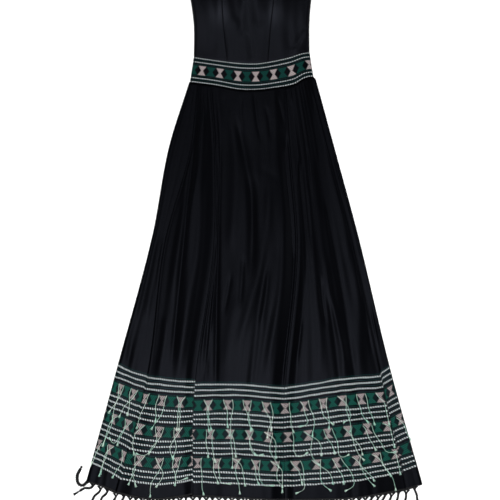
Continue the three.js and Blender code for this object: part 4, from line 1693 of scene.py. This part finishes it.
@dataclass
class Waistband:
    """The doubled woven band between the skirt and the bodice."""

    columns: int = 170
    rows: int = 22
    height: float = 70.0
    motif_pitch: float = 46.5
    motif_centre: float = 9.6
    crown: float = 0.35
    waves: float = 0.25

    def place(self, across: Array, up: Array) -> tuple[Array, Array]:
        """A point of the band between its two seams.

        Args:
            across: shares across the band.
            up: shares up the band.

        Returns:
            The places across and up, in millimetres.
        """
        x = lerp(seam_curve("across", "lower_x").at(across), seam_curve("across", "upper_x").at(across), up)
        y = lerp(seam_curve("across", "lower_y").at(across), seam_curve("across", "upper_y").at(across), up)
        return x, y

    def build_front(self, material: bpy.types.Material) -> bpy.types.Object:
        """Makes the band across the front.

        Args:
            material: what it is made of.

        Returns:
            The new piece.
        """
        step = np.linspace(0, 1, self.columns + 1)
        across = lerp(step, smoothstep(step, 0, 1), 0.5)[None, :]
        up = np.linspace(1, 0, self.rows + 1)[:, None]
        x, y = self.place(across, up)
        left, right = self.place(np.array([[0.0]]), up)[0], self.place(np.array([[1.0]]), up)[0]
        inside = np.minimum(x - left, right - x)
        loft = BAND_RISE + np.maximum(0, seam_curve("across", "loft").at(across))
        crown = self.crown * (np.exp(-(((up - 0.5) / 0.52) ** 8)) - 1)
        waves = self.waves * np.sin(x / 17 + 1.2) * np.sin(up * 2.2)
        z = rolled(BAND_LOW + loft + crown + waves, inside, BAND_LOW)
        middle = self.place(across, np.array([[0.5]]))[0]
        count = np.broadcast_to((middle - self.motif_centre) / self.motif_pitch, x.shape)
        above = np.broadcast_to((up - 0.5) * self.height * MM, x.shape)
        cloth = np.stack([count * self.motif_pitch * MM, above], axis=-1)
        shape = MeshMaker.wall(np.stack([x, y, z], axis=-1), cloth, BAND_CLOTH)
        piece = MeshMaker.merged("waistband_front_cloth", [shape])
        finish_piece(piece, material, "waistband_front")
        return piece

    def build_back(self, material: bpy.types.Material) -> bpy.types.Object:
        """Makes the band across the back.

        Args:
            material: what it is made of.

        Returns:
            The new piece.
        """
        rows = []
        ups = np.linspace(1, 0, 6)
        for up in ups:
            left, right = self.place(np.array(0.0), up), self.place(np.array(1.0), up)
            sag = lerp(BACK_SAG + SEAM_GAP, BACK_SAG, up)
            rows.append(self._back_row(left, right, sag))
        points = flat_grid(rows, 40)
        count = (points[..., 0] - self.motif_centre) / self.motif_pitch
        above = np.broadcast_to((ups - 0.5)[:, None] * self.height * MM, count.shape)
        cloth = np.stack([count * self.motif_pitch * MM, above], axis=-1)
        piece = MeshMaker.merged("waistband_back_cloth", [MeshMaker.wall(points, cloth, BACK_CLOTH)])
        finish_piece(piece, material, "waistband_back")
        return piece

    @staticmethod
    def _back_row(left: tuple[Array, Array], right: tuple[Array, Array], sag: float) -> BackRow:
        """One level across the back of the band.

        Args:
            left: its left end.
            right: its right end.
            sag: how far it hangs in the middle.

        Returns:
            The level.
        """

        def height(share: Array) -> Array:
            """The height across the row."""
            return lerp(left[1], right[1], share) + sag * (1 - (2 * share - 1) ** 2)

        return BackRow(float(left[0]) + BACK_INSET, float(right[0]) - BACK_INSET, height)


# ---- bodice ----

BODICE_CREASES = (
    Crease(-64, 310, -39, 180, 0, 2.4, 12),
    Crease(4, 310, 22, 170, 0, 2.6, 15),
    Crease(-20, 310, -29, 150, 0, 1.6, 11),
    Crease(146, 165, 108, 108, 0, 1.5, 9),
)

BODICE_SMALL_CREASES = (
    Crease(-104, 280, -98, 100, 3, 1, 10),
    Crease(-78, 260, -70, 95, -2, 0.7, 9),
    Crease(28, 240, 40, 95, 2, 0.8, 9),
    Crease(94, 280, 100, 110, -3, 1.1, 11),
    Crease(120, 260, 118, 120, 2, 0.7, 9),
    Crease(-8, 150, 2, 84, 1, 0.8, 9),
)


@dataclass
class Bodice:
    """The three front panels over the bust and the plain back."""

    ups: tuple[float, ...] = (0.0, 0.4, 0.72, 1.0)
    left: tuple[float, ...] = (-151, -151, -159, -171)
    seam_left: tuple[float, ...] = (-64, -74, -78, -80)
    seam_right: tuple[float, ...] = (41, 48, 56, 62)
    right: tuple[float, ...] = (149, 149, 154, 164)
    top_side: float = 288.0
    top_middle: float = 296.0
    bust_x: float = 70.0
    bust_y: float = 240.0
    bust_across: float = 52.0
    bust_along: float = 56.0
    bust_height: float = 15.0
    loft: float = 7.0
    seam_sink: float = 0.2
    seam_sink_half: float = 2.2
    seam_gap: float = 0.12
    ripple: float = 0.35
    back_drop: float = 22.0
    columns: int = 64
    rows: int = 70

    def edge(self, name: str, up: Array) -> Array:
        """Where one of the bodice's seams lies across."""
        return Curve(self.ups, getattr(self, name)).at(up)

    def top_y(self, x: Array) -> Array:
        """The straight neckline's height."""
        return lerp(self.top_side, self.top_middle, np.cos(math.pi * np.clip(x, -170, 170) / 340))

    def height(self, x: Array, y: Array, up: Array) -> Array:
        """How high the front stands above its lowest level.

        Args:
            x: millimetres across.
            y: millimetres up the dress.
            up: the same places as shares up the bodice.

        Returns:
            Heights in millimetres.
        """
        foot = BAND_RISE + UPPER_SEAM_LOFT.at(np.clip(x, self.left[0], self.right[0]))
        total = lerp(foot, self.loft, smoothstep(up, 0, 0.4))
        for side in (-1, 1):
            across = (x - (side * self.bust_x - 8)) / self.bust_across
            along = (y - self.bust_y) / self.bust_along
            total = total + self.bust_height * np.exp(-(across**2) - along**2)
        return total

    def build_front(self, part: str, ends: tuple[str, str], material: bpy.types.Material) -> bpy.types.Object:
        """Makes one front panel between two named seams.

        Args:
            part: the panel's name.
            ends: its two seams or side edges.
            material: what it is made of.

        Returns:
            The new piece.
        """
        up = np.linspace(1, 0, self.rows + 1)[:, None]
        start = self.edge(ends[0], up) + (0 if ends[0] == "left" else self.seam_gap / 2)
        end = self.edge(ends[1], up) - (0 if ends[1] == "right" else self.seam_gap / 2)
        s = np.linspace(0, 1, self.columns + 1)[None, :]
        if ends[0] == "left":
            s = s**1.3
        if ends[1] == "right":
            s = 1 - (1 - s) ** 1.3
        x = lerp(start, end, s)
        y = lerp(UPPER_SEAM_Y.at(x) + SEAM_GAP, self.top_y(x), up)
        dips = troughs(BODICE_CREASES, x, y) + troughs(BODICE_SMALL_CREASES, x, y)
        ripples = self.ripple * np.sin(x / 6.1 + y / 70) * np.sin(y / 38 + x / 50)
        raised = self.height(x, y, up) - dips - ripples
        z = LOW + soften(raised)
        for name, distance in ((ends[0], x - start), (ends[1], end - x)):
            if name in ("seam_left", "seam_right"):
                z = z - self.seam_sink * np.exp(-((distance / self.seam_sink_half) ** 2))
        inside = np.minimum(x - self.edge("left", up), self.edge("right", up) - x)
        z = rolled(z, inside, LOW - SEAM_RISE)
        cloth = np.stack([x * MM, np.broadcast_to(y, x.shape) * MM], axis=-1)
        shape = MeshMaker.wall(np.stack([x, y, z], axis=-1), cloth, CLOTH)
        piece = MeshMaker.merged(f"bodice_front_{part}_cloth", [shape])
        finish_piece(piece, material, f"bodice_front_{part}")
        return piece

    def build_back(self, material: bpy.types.Material) -> bpy.types.Object:
        """Makes the plain back, cut lower than the front.

        Args:
            material: what it is made of.

        Returns:
            The new piece.
        """
        foot_left, foot_right = UPPER_SEAM_Y.at(self.left[0]), UPPER_SEAM_Y.at(self.right[0])
        rows = []
        for up in np.linspace(1, 0, 16):
            rows.append(self._back_row(up, foot_left, foot_right, BACK_SAG + SEAM_GAP))
        points = flat_grid(rows, 40)
        cloth = points[..., :2] * MM
        piece = MeshMaker.merged("bodice_back_cloth", [MeshMaker.wall(points, cloth, BACK_CLOTH)])
        finish_piece(piece, material, "bodice_back")
        return piece

    def _back_row(self, up: float, foot_left: float, foot_right: float, sag: float) -> BackRow:
        """One level across the back.

        Args:
            up: the share up the bodice.
            foot_left: the seam's height at the left edge.
            foot_right: the seam's height at the right edge.
            sag: how far the seam hangs in the middle.

        Returns:
            The level.
        """

        def height(share: Array) -> Array:
            """The height across the row.

            Args:
                share: places across, from 0 to 1.

            Returns:
                Heights in millimetres.
            """
            middle = 2 * share - 1
            foot = lerp(foot_left, foot_right, share) + SEAM_GAP + (sag - SEAM_GAP) * (1 - middle**2)
            return lerp(foot, self.top_side - self.back_drop * (1 - middle**4), up)

        left = float(self.edge("left", np.array(up))) + BACK_INSET
        return BackRow(left, float(self.edge("right", np.array(up))) - BACK_INSET, height)


# ---- fringe ----

SPREAD = Curve((0.0, 0.05, 0.2, 0.5, 0.78, 0.9, 0.96, 1.0), (-62, -28, -7, 3, -8, -26, -8, 14))
CORNER_CORD = ((0, 0.8), (-13, -9), (-25, -3), (-27, 17), (-19, 34))


@dataclass
class Fringe:
    """Twisted cords on a narrow strip, each with a knot and a brush end."""

    front: SkirtFront
    pitch: float = 34.8
    length: float = 60.0
    strip: float = 3.0
    strip_thick: float = 0.96
    knot_at: float = 0.62
    ply: float = 1.8
    split: float = 3.4
    split_length: float = 12.0
    fan: tuple[float, ...] = (-9.0, -6.0, 6.0, 9.0)
    twist: float = 10.0
    rest: float = 3.6
    front_root_z: float = 4.4
    back_root_z: float = 2.0
    knot_radius: float = 2.2
    knot_length: float = 6.0
    knot_yarn: float = 1.4
    knot_turns: float = 2.5
    brush_yarns: int = 8
    brush_half: float = 3.0
    parts: list[Shape] = field(default_factory=list)

    def roots(self) -> Array:
        """Where the front's cords start, evenly along each panel's part of the hem.

        Returns:
            One point for each cord.
        """
        found = []
        for index in range(len(PANELS)):
            line = self.front.panel_points(index, np.linspace(0, 1, 60), np.array([1.0]))[0][0]
            count = max(1, round((line[-1, 0] - line[0, 0]) / self.pitch))
            xs = line[0, 0] + (line[-1, 0] - line[0, 0]) * (np.arange(count) + 0.5) / count
            y, z = np.interp(xs, line[:, 0], line[:, 1]), np.interp(xs, line[:, 0], line[:, 2])
            found.append(np.stack([xs, y, z], axis=1))
        return np.concatenate(found)

    def lay_strip(self, line: Array) -> None:
        """Lays the narrow strip that carries the cords just below a line of the hem.

        Args:
            line: points along the hem.
        """
        drops = (0.0, 0.2, self.strip - 0.2, self.strip)
        ledge = np.stack([line - [0, SEAM_GAP + drop, 0] for drop in drops])
        self.parts.append(MeshMaker.wall(ledge, ledge[..., :2] * MM, self.strip_thick))

    def plies(self, path: Array, split: float) -> None:
        """Lays two plies along a path. They start apart and then twist round one another.

        Args:
            path: the cord's middle.
            split: how far each ply starts from it.
        """
        steps = np.linalg.norm(np.diff(path, axis=0), axis=1)
        length = np.concatenate([[0.0], np.cumsum(steps)])
        count = max(8, int(length[-1] / 1.5))
        t = np.linspace(0, length[-1], count)
        line = along_path(path, length, t)
        across, lift = strand_sides(line, UP)
        joined = smoothstep(t, 0, self.split_length)
        apart = lerp(split, self.ply * 0.85, joined)[:, None]
        for phase in (0.0, math.pi):
            turn = (2 * math.pi * t / self.twist * joined + phase)[:, None]
            ply = line + apart * np.cos(turn) * across + np.minimum(apart, self.ply) * np.sin(turn) * lift
            ply[:, 2] = np.maximum(ply[:, 2], self.ply + 0.1)
            self.parts.append(MeshMaker.tube(ply, np.full(count, self.ply), 6))

    def gather(self, path: Array, start: float) -> None:
        """Draws a bundle of loose warp threads in from the strip to its cord.

        Args:
            path: the cord's middle.
            start: how far along the strip the bundle starts from the cord.
        """
        t = np.linspace(0, 1, 9)
        line = along_path(path, np.linspace(0, 1, len(path)), t * 0.34)
        line[:, 0] += start * (1 - t) ** 1.6
        line[:, 1] += 0.8 * (1 - t)
        self.parts.append(MeshMaker.tube(line, lerp(1.1, 0.8, t), 6))

    def knot(self, centre: Array, heading: Array) -> None:
        """Winds a short, tight coil that stands for a knot.

        Args:
            centre: its middle.
            heading: which way the cord runs.
        """
        t = np.linspace(0, 1, 30)
        turn = t * 2 * math.pi * self.knot_turns
        across = np.cross(UP, heading)
        radius = self.knot_radius * np.sin(math.pi * (0.15 + 0.7 * t))
        coil = (
            centre
            + heading * ((t - 0.5) * self.knot_length)[:, None]
            + across * (radius * np.cos(turn))[:, None]
            + UP * (0.85 * radius * np.sin(turn))[:, None]
        )
        self.parts.append(MeshMaker.tube(coil, np.full(len(t), self.knot_yarn), 6))

    def brush(self, start: Array, heading: Array, length: float, salt: float) -> None:
        """Spreads thin loose yarns from the end of a cord.

        Args:
            start: where the cord ends.
            heading: which way it runs.
            length: how long the yarns are.
            salt: what makes it differ from its neighbours.
        """
        across = np.cross(UP, heading)
        middle = (self.brush_yarns - 1) / 2
        for k in range(self.brush_yarns):
            t = np.linspace(0, 1, 6)
            fan = (k - middle) / middle * self.brush_half + 0.8 * uneven(k, salt)
            reach = length * (0.86 + 0.14 * uneven(k, salt + 3))
            line = start + heading * (t * reach)[:, None] + across * (fan * t**0.8)[:, None]
            line[:, 2] = lerp(start[2], 1.0 + 0.7 * (k % 3), t)
            self.parts.append(MeshMaker.tube(line, lerp(1.0, 0.6, t), 4))

    def hang(self, root: Array, across: float, salt: float) -> None:
        """Hangs one cord from a root on the strip's lower edge.

        Args:
            root: where it starts.
            across: its share of the way along the hem.
            salt: what makes it differ from its neighbours.
        """
        lean = math.radians(float(SPREAD.at(across)) + 2 * float(uneven(salt, 1)))
        length = self.length * (1 + 0.08 * float(uneven(salt, 2)))
        at = np.linspace(-0.015, self.knot_at, 22)
        bend = lean * np.clip(at * 2.5, 0, 1)
        sway = 1.2 * np.sin(at * 9 + salt) * np.clip(at * 4, 0, 1)
        z = lerp(root[2], self.rest, smoothstep(at, 0, self.knot_at - 0.1))
        path = np.stack(
            [root[0] + length * at * np.sin(bend) + sway, root[1] - length * at * np.cos(bend), z], axis=1
        )
        self.plies(path, self.split)
        for start in self.fan:
            self.gather(path, start)
        heading = path[-1] - path[-2]
        heading = np.array([heading[0], heading[1], 0.0]) / np.linalg.norm(heading[:2])
        self.knot(path[-1] + np.array([0, 0, 0.8]), heading)
        self.brush(path[-1] + heading * 1.5, heading, length * (1 - self.knot_at), salt)

    def build_front(self, material: bpy.types.Material) -> bpy.types.Object:
        """Makes the fringe along the front's hem.

        Args:
            material: what it is made of.

        Returns:
            The new piece.
        """
        self.parts = []
        section = self.front.grid(np.array([1.0]))[0][0]
        self.lay_strip(section)
        roots = self.roots() - np.array([0.0, SEAM_GAP + self.strip, 0.0])
        roots[:, 2] = np.maximum(roots[:, 2], self.front_root_z)
        left, right = roots[0, 0], roots[-1, 0]
        for i, root in enumerate(roots):
            self.hang(root, float((root[0] - left) / (right - left)), i)
        corner = section[0] + np.array([self.strip, -SEAM_GAP - self.strip, 1.6])
        self.curl(corner)
        return self._made("fringe_front", material)

    def curl(self, root: Array) -> None:
        """Lays the cord that curls up beside the skirt's left corner.

        Args:
            root: where it starts.
        """
        knots = np.arange(len(CORNER_CORD))
        t = np.linspace(0, knots[-1], 40)
        x, y = (Curve(knots, [point[k] for point in CORNER_CORD]).at(t) for k in (0, 1))
        z = lerp(root[2], self.rest, smoothstep(t, 0, 1)) - root[2]
        path = root + np.stack([x, y, z], axis=1)
        for aside in (-1.3, 1.3):
            self.plies(path + np.array([aside, 0.0, 0.9 + aside * 0.3]), self.ply)
        heading = path[-1] - path[-3]
        self.brush(path[-1], heading / np.linalg.norm(heading), 9.0, 3.0)

    def build_back(self, back: SkirtBack, material: bpy.types.Material) -> bpy.types.Object:
        """Makes the fringe along the back's hem.

        Args:
            back: the skirt back that it hangs from.
            material: what it is made of.

        Returns:
            The new piece.
        """
        self.parts = []
        row = back.row(1.0)
        share = np.linspace(0, 1, back.columns + 1)
        x, y = lerp(row.left, row.right, share), row.y(share)
        line = np.stack([x, y, np.full_like(x, 0.8)], axis=-1)
        self.lay_strip(line)
        fronts = self.roots()[:, 0]
        for i, place in enumerate((fronts[1:] + fronts[:-1]) / 2):
            foot = float(np.interp(place, x, y)) - SEAM_GAP - self.strip
            root = np.array([place, foot, self.back_root_z])
            self.hang(root, float((place - x[0]) / (x[-1] - x[0])), i + 0.5)
        return self._made("fringe_back", material)

    def _made(self, node: str, material: bpy.types.Material) -> bpy.types.Object:
        """Joins the cords into one piece that stands for its solid.

        Args:
            node: the solid it stands for.
            material: what it is made of.

        Returns:
            The new piece.
        """
        piece = MeshMaker.merged(f"{node}_cords", self.parts)
        finish_piece(piece, material, node)
        return piece


# ---- loose yarn ends ----


@dataclass(frozen=True)
class TailRow:
    """One row of motifs: where its yarn ends start, its phase and how far they lean in degrees."""

    name: str
    down: float
    phase: float
    lean: Curve


TAIL_ROWS = (
    TailRow("upper", 0.768, 0.0, Curve((0, 5, 9, 12, 17), (-8, -3, 8, 12, 10))),
    TailRow("middle", 0.842, 0.15, Curve((0, 5, 9, 12, 17), (-14, -6, 14, 18, 16))),
    TailRow("lower", 0.911, 0.5, Curve((0, 5, 9, 12, 17), (-10, 2, 14, 22, 20))),
)


@dataclass
class YarnEnds:
    """Loose ends of pattern yarn, two from the top corners of each pale motif."""

    front: SkirtFront
    corner: float = 0.22
    margin: float = 0.14
    length: float = 76.0
    radius: float = 0.5
    lift: float = 1.3
    bow: float = 30.0
    waver: float = 13.0
    hook: float = 95.0
    tip: float = 11.0
    hairs: int = 4
    hair_radius: float = 0.42

    def surface(self, index: int, share: Array, down: Array) -> tuple[Array, Array]:
        """Points on the skirt's upper face and the normals there, one for each pair.

        Args:
            index: the panel.
            share: places across it, from 0 to 1.
            down: shares of the skirt's length.

        Returns:
            The points and the normals.
        """
        points, normals = [], []
        for s, d in zip(share, down):
            grid = self.front.panel_points(
                index, np.array([s - 0.004, s, s + 0.004]), np.array([d - 0.001, d, d + 0.001])
            )[0]
            normal = grid_normals(grid)[1, 1]
            points.append(grid[1, 1] + normal * CLOTH / 2)
            normals.append(normal)
        return np.array(points), np.array(normals)

    def share_of(self, panel: Panel, count: float, down: float) -> float:
        """Where a motif count lies across a panel.

        Args:
            panel: the panel.
            count: the motif count.
            down: the share of the skirt's length.

        Returns:
            The share across, from 0 to 1.
        """
        first, last = panel.rows[0].count, panel.rows[-1].count
        ramp = float(border_ramp(down))
        share = (count - first) / (last - first)
        for _ in range(6):
            share = (count - panel.hem_drift * max(share, 0.0) ** 2 * ramp - first) / (last - first)
        return share

    def tail(self, index: int, start: float, row: TailRow, lean: float, salt: float) -> list[Shape]:
        """One curling yarn end with a frayed tip.

        Args:
            index: the panel.
            start: its share across that panel.
            row: the motif row it hangs from.
            lean: degrees from straight down, positive to +X.
            salt: what makes it differ from its neighbours.

        Returns:
            The shapes of the yarn and its tip.
        """
        panel = PANELS[index]
        length = self.length * (1 + 0.26 * float(uneven(salt, 2)))
        t = np.linspace(0, 1, 18)
        bow = self.bow * float(uneven(salt, 3)) * np.cos(math.pi * t)
        waver = self.waver * np.sin(7 * t + 9 * salt)
        hooked = self.hook if uneven(salt, 4) > 0.62 else 0.0
        hook = hooked * np.sign(uneven(salt, 5)) * smoothstep(t, 0.66, 1.0)
        turn = np.radians(lean + bow + waver + hook)
        aside, fall = (
            np.concatenate([[0.0], np.cumsum((way[1:] + way[:-1]) / 2 * length / (len(t) - 1))])
            for way in (np.sin(turn), np.cos(turn))
        )
        width = (panel.rows[-1].count - panel.rows[0].count) * MOTIF_PITCH
        down = row.down - 0.004 + fall / SKIRT_LENGTH
        share = np.clip(start + aside / width, 0.015, 0.985)
        points, normals = self.surface(index, share, np.minimum(down, 0.999))
        points[:, 1] -= np.maximum(down - 0.999, 0) * SKIRT_LENGTH
        points += normals * (self.lift * (0.6 + 0.4 * np.sin(math.pi * t)))[:, None]
        shapes = [MeshMaker.tube(points, lerp(self.radius * 1.1, self.radius * 0.9, t), 5)]
        heading = points[-1] - points[-2]
        heading /= np.linalg.norm(heading) + TINY
        side = np.cross(normals[-1], heading)
        tip = self.tip + 4.0 * float(uneven(salt, 6))
        u = np.linspace(0, 1, 4)[:, None]
        for k in range(self.hairs):
            off = k - (self.hairs - 1) / 2
            spread = heading * (tip - abs(off)) + side * off * 1.7 + normals[-1] * 0.3
            shapes.append(MeshMaker.tube(points[-1] + spread * u, np.full(len(u), self.hair_radius), 4))
        return shapes

    def panel_tails(self, row: TailRow, index: int) -> list[Shape]:
        """All the yarn ends of one motif row on one panel.

        Args:
            row: the motif row.
            index: the panel.

        Returns:
            Their shapes.
        """
        panel = PANELS[index]
        first = self.front.cloth_place(panel, np.array(0.0), np.array(row.down))[0] / MM / MOTIF_PITCH
        last = self.front.cloth_place(panel, np.array(1.0), np.array(row.down))[0] / MM / MOTIF_PITCH
        shapes = []
        for motif in range(math.ceil(first - row.phase - 0.3), math.floor(last) + 1):
            for side in (-1, 1):
                count = motif + row.phase + side * self.corner
                if not first + self.margin <= count <= last - self.margin:
                    continue
                salt = motif * 2 + (side > 0) + row.down * 60
                pinch = -side * (6 + 9 * float(uneven(motif, row.down * 31)))
                lean = float(row.lean.at(motif)) + pinch + 7 * float(uneven(salt, 1))
                shapes += self.tail(index, self.share_of(panel, count, row.down), row, lean, salt)
        return shapes

    def build(
        self, row: TailRow, indexes: tuple[int, ...], material: bpy.types.Material
    ) -> bpy.types.Object:
        """Makes one motif row's yarn ends on a panel, and on the narrow panel beside it if it has one.

        Args:
            row: the motif row.
            indexes: the panels, with the wide one first.
            material: what it is made of.

        Returns:
            The new piece.
        """
        panel = PANELS[indexes[0]]
        shapes = []
        for index in indexes:
            shapes += self.panel_tails(row, index)
        piece = MeshMaker.merged(f"yarn_ends_{row.name}_{panel.name}_loose", shapes)
        finish_piece(piece, material, f"yarn_ends_{row.name}_{panel.name}")
        return piece


# ---- floor, light and camera ----


@dataclass(frozen=True)
class SoftLight:
    """A square light: its place and width in metres, and its power."""

    name: str
    place: tuple[float, float, float]
    size: float
    power: float


@dataclass
class Studio:
    """The surface the dress lies on, soft light and the camera straight above."""

    view_width: float = 1300.0
    view_x: float = -5.2
    view_y: float = -416.0
    cloth_z: float = 8.0
    height: float = 2.6
    sensor: float = 36.0
    floor_half: float = 4.0
    floor_z: float = -0.0003
    surroundings: float = 0.15
    lights: tuple[SoftLight, ...] = (
        SoftLight("soft_light_front", (-0.24, -0.9, 2.9), 1.3, 126.0),
        SoftLight("soft_light_left", (-2.8, 0.6, 1.3), 1.2, 8.0),
        SoftLight("soft_light_top", (-0.1, 1.35, 2.7), 0.8, 15.0),
        SoftLight("soft_light_right", (2.8, 0.2, 1.3), 1.2, 22.0),
    )

    def camera(self) -> bpy.types.Object:
        """Makes the camera, looking straight down.

        Returns:
            The camera.
        """
        centre = PLACING.metres(np.array([self.view_x, self.view_y, 0.0]))
        data = bpy.data.cameras.new("camera")
        data.sensor_width = self.sensor
        data.lens = self.sensor * (self.height - self.cloth_z * MM) / (self.view_width * MM)
        camera = bpy.data.objects.new("camera", data)
        camera.location = (float(centre[0]), float(centre[1]), self.height)
        bpy.context.scene.collection.objects.link(camera)
        bpy.context.scene.camera = camera
        return camera

    def floor(self) -> bpy.types.Object:
        """Makes the floor.

        Returns:
            The floor.
        """
        half, z = self.floor_half, self.floor_z
        mesh = bpy.data.meshes.new("floor")
        corners = [(-half, -half, z), (half, -half, z), (half, half, z), (-half, half, z)]
        mesh.from_pydata(corners, [], [(0, 1, 2, 3)])
        floor = bpy.data.objects.new("floor", mesh)
        bpy.context.scene.collection.objects.link(floor)
        floor.data.materials.append(FloorFinish().material())
        return floor

    @staticmethod
    def light(soft: SoftLight) -> bpy.types.Object:
        """Makes a soft light that looks at the dress.

        Args:
            soft: the light to make.

        Returns:
            The light.
        """
        data = bpy.data.lights.new(soft.name, "AREA")
        data.shape = "SQUARE"
        data.size = soft.size
        data.energy = soft.power
        light = bpy.data.objects.new(soft.name, data)
        light.location = soft.place
        away = np.array(soft.place) / np.linalg.norm(soft.place)
        light.rotation_mode = "XYZ"
        light.rotation_euler = (math.acos(away[2]), 0.0, math.atan2(away[0], -away[1]))
        bpy.context.scene.collection.objects.link(light)
        return light

    def build(self) -> None:
        """Sets up the floor, the lights and the surrounding brightness."""
        self.floor()
        for soft in self.lights:
            self.light(soft)
        world = bpy.data.worlds.new("studio")
        bpy.context.scene.world = world
        world.use_nodes = True
        background = world.node_tree.nodes["Background"]
        background.inputs["Color"].default_value = (1.0, 1.0, 1.0, 1.0)
        background.inputs["Strength"].default_value = self.surroundings
        bpy.context.scene.view_settings.view_transform = "Standard"


# ---- the dress ----


def main() -> None:
    """Builds the camera and the dress, and reports each piece."""
    logging.basicConfig(level=logging.INFO, format="%(name)s: %(message)s")
    studio = Studio()
    studio.camera()
    studio.build()

    border = BorderCloth().material()
    plain = PlainCloth("black_bodice_cloth", shine=0.085).material()
    band_cloth = BandCloth().material()
    fringe_yarn = YarnFinish("black_yarn", YARNS.cord, YARNS.cord_light, 240.0, shine=0.22).material()
    pattern_yarn = YarnFinish("pale_green_yarn", YARNS.mint, YARNS.mint_white, 420.0, patch=16.0).material()

    front = SkirtFront()
    back = SkirtBack(front)
    band = Waistband()
    bodice = Bodice()
    pieces = [
        back.build(border),
        band.build_back(band_cloth),
        bodice.build_back(plain),
        front.build(border),
        band.build_front(band_cloth),
        bodice.build_front("left", ("left", "seam_left"), plain),
        bodice.build_front("centre", ("seam_left", "seam_right"), plain),
        bodice.build_front("right", ("seam_right", "right"), plain),
    ]
    fringe = Fringe(front)
    pieces += [fringe.build_front(fringe_yarn), fringe.build_back(back, fringe_yarn)]
    ends = YarnEnds(front)
    for row in TAIL_ROWS:
        pieces += [ends.build(row, indexes, pattern_yarn) for indexes in ((1, 0), (2,), (3, 4))]
    for piece in pieces:
        log.info("%s: %d faces", piece.name, len(piece.data.polygons))


if __name__ == "__main__":
    main()
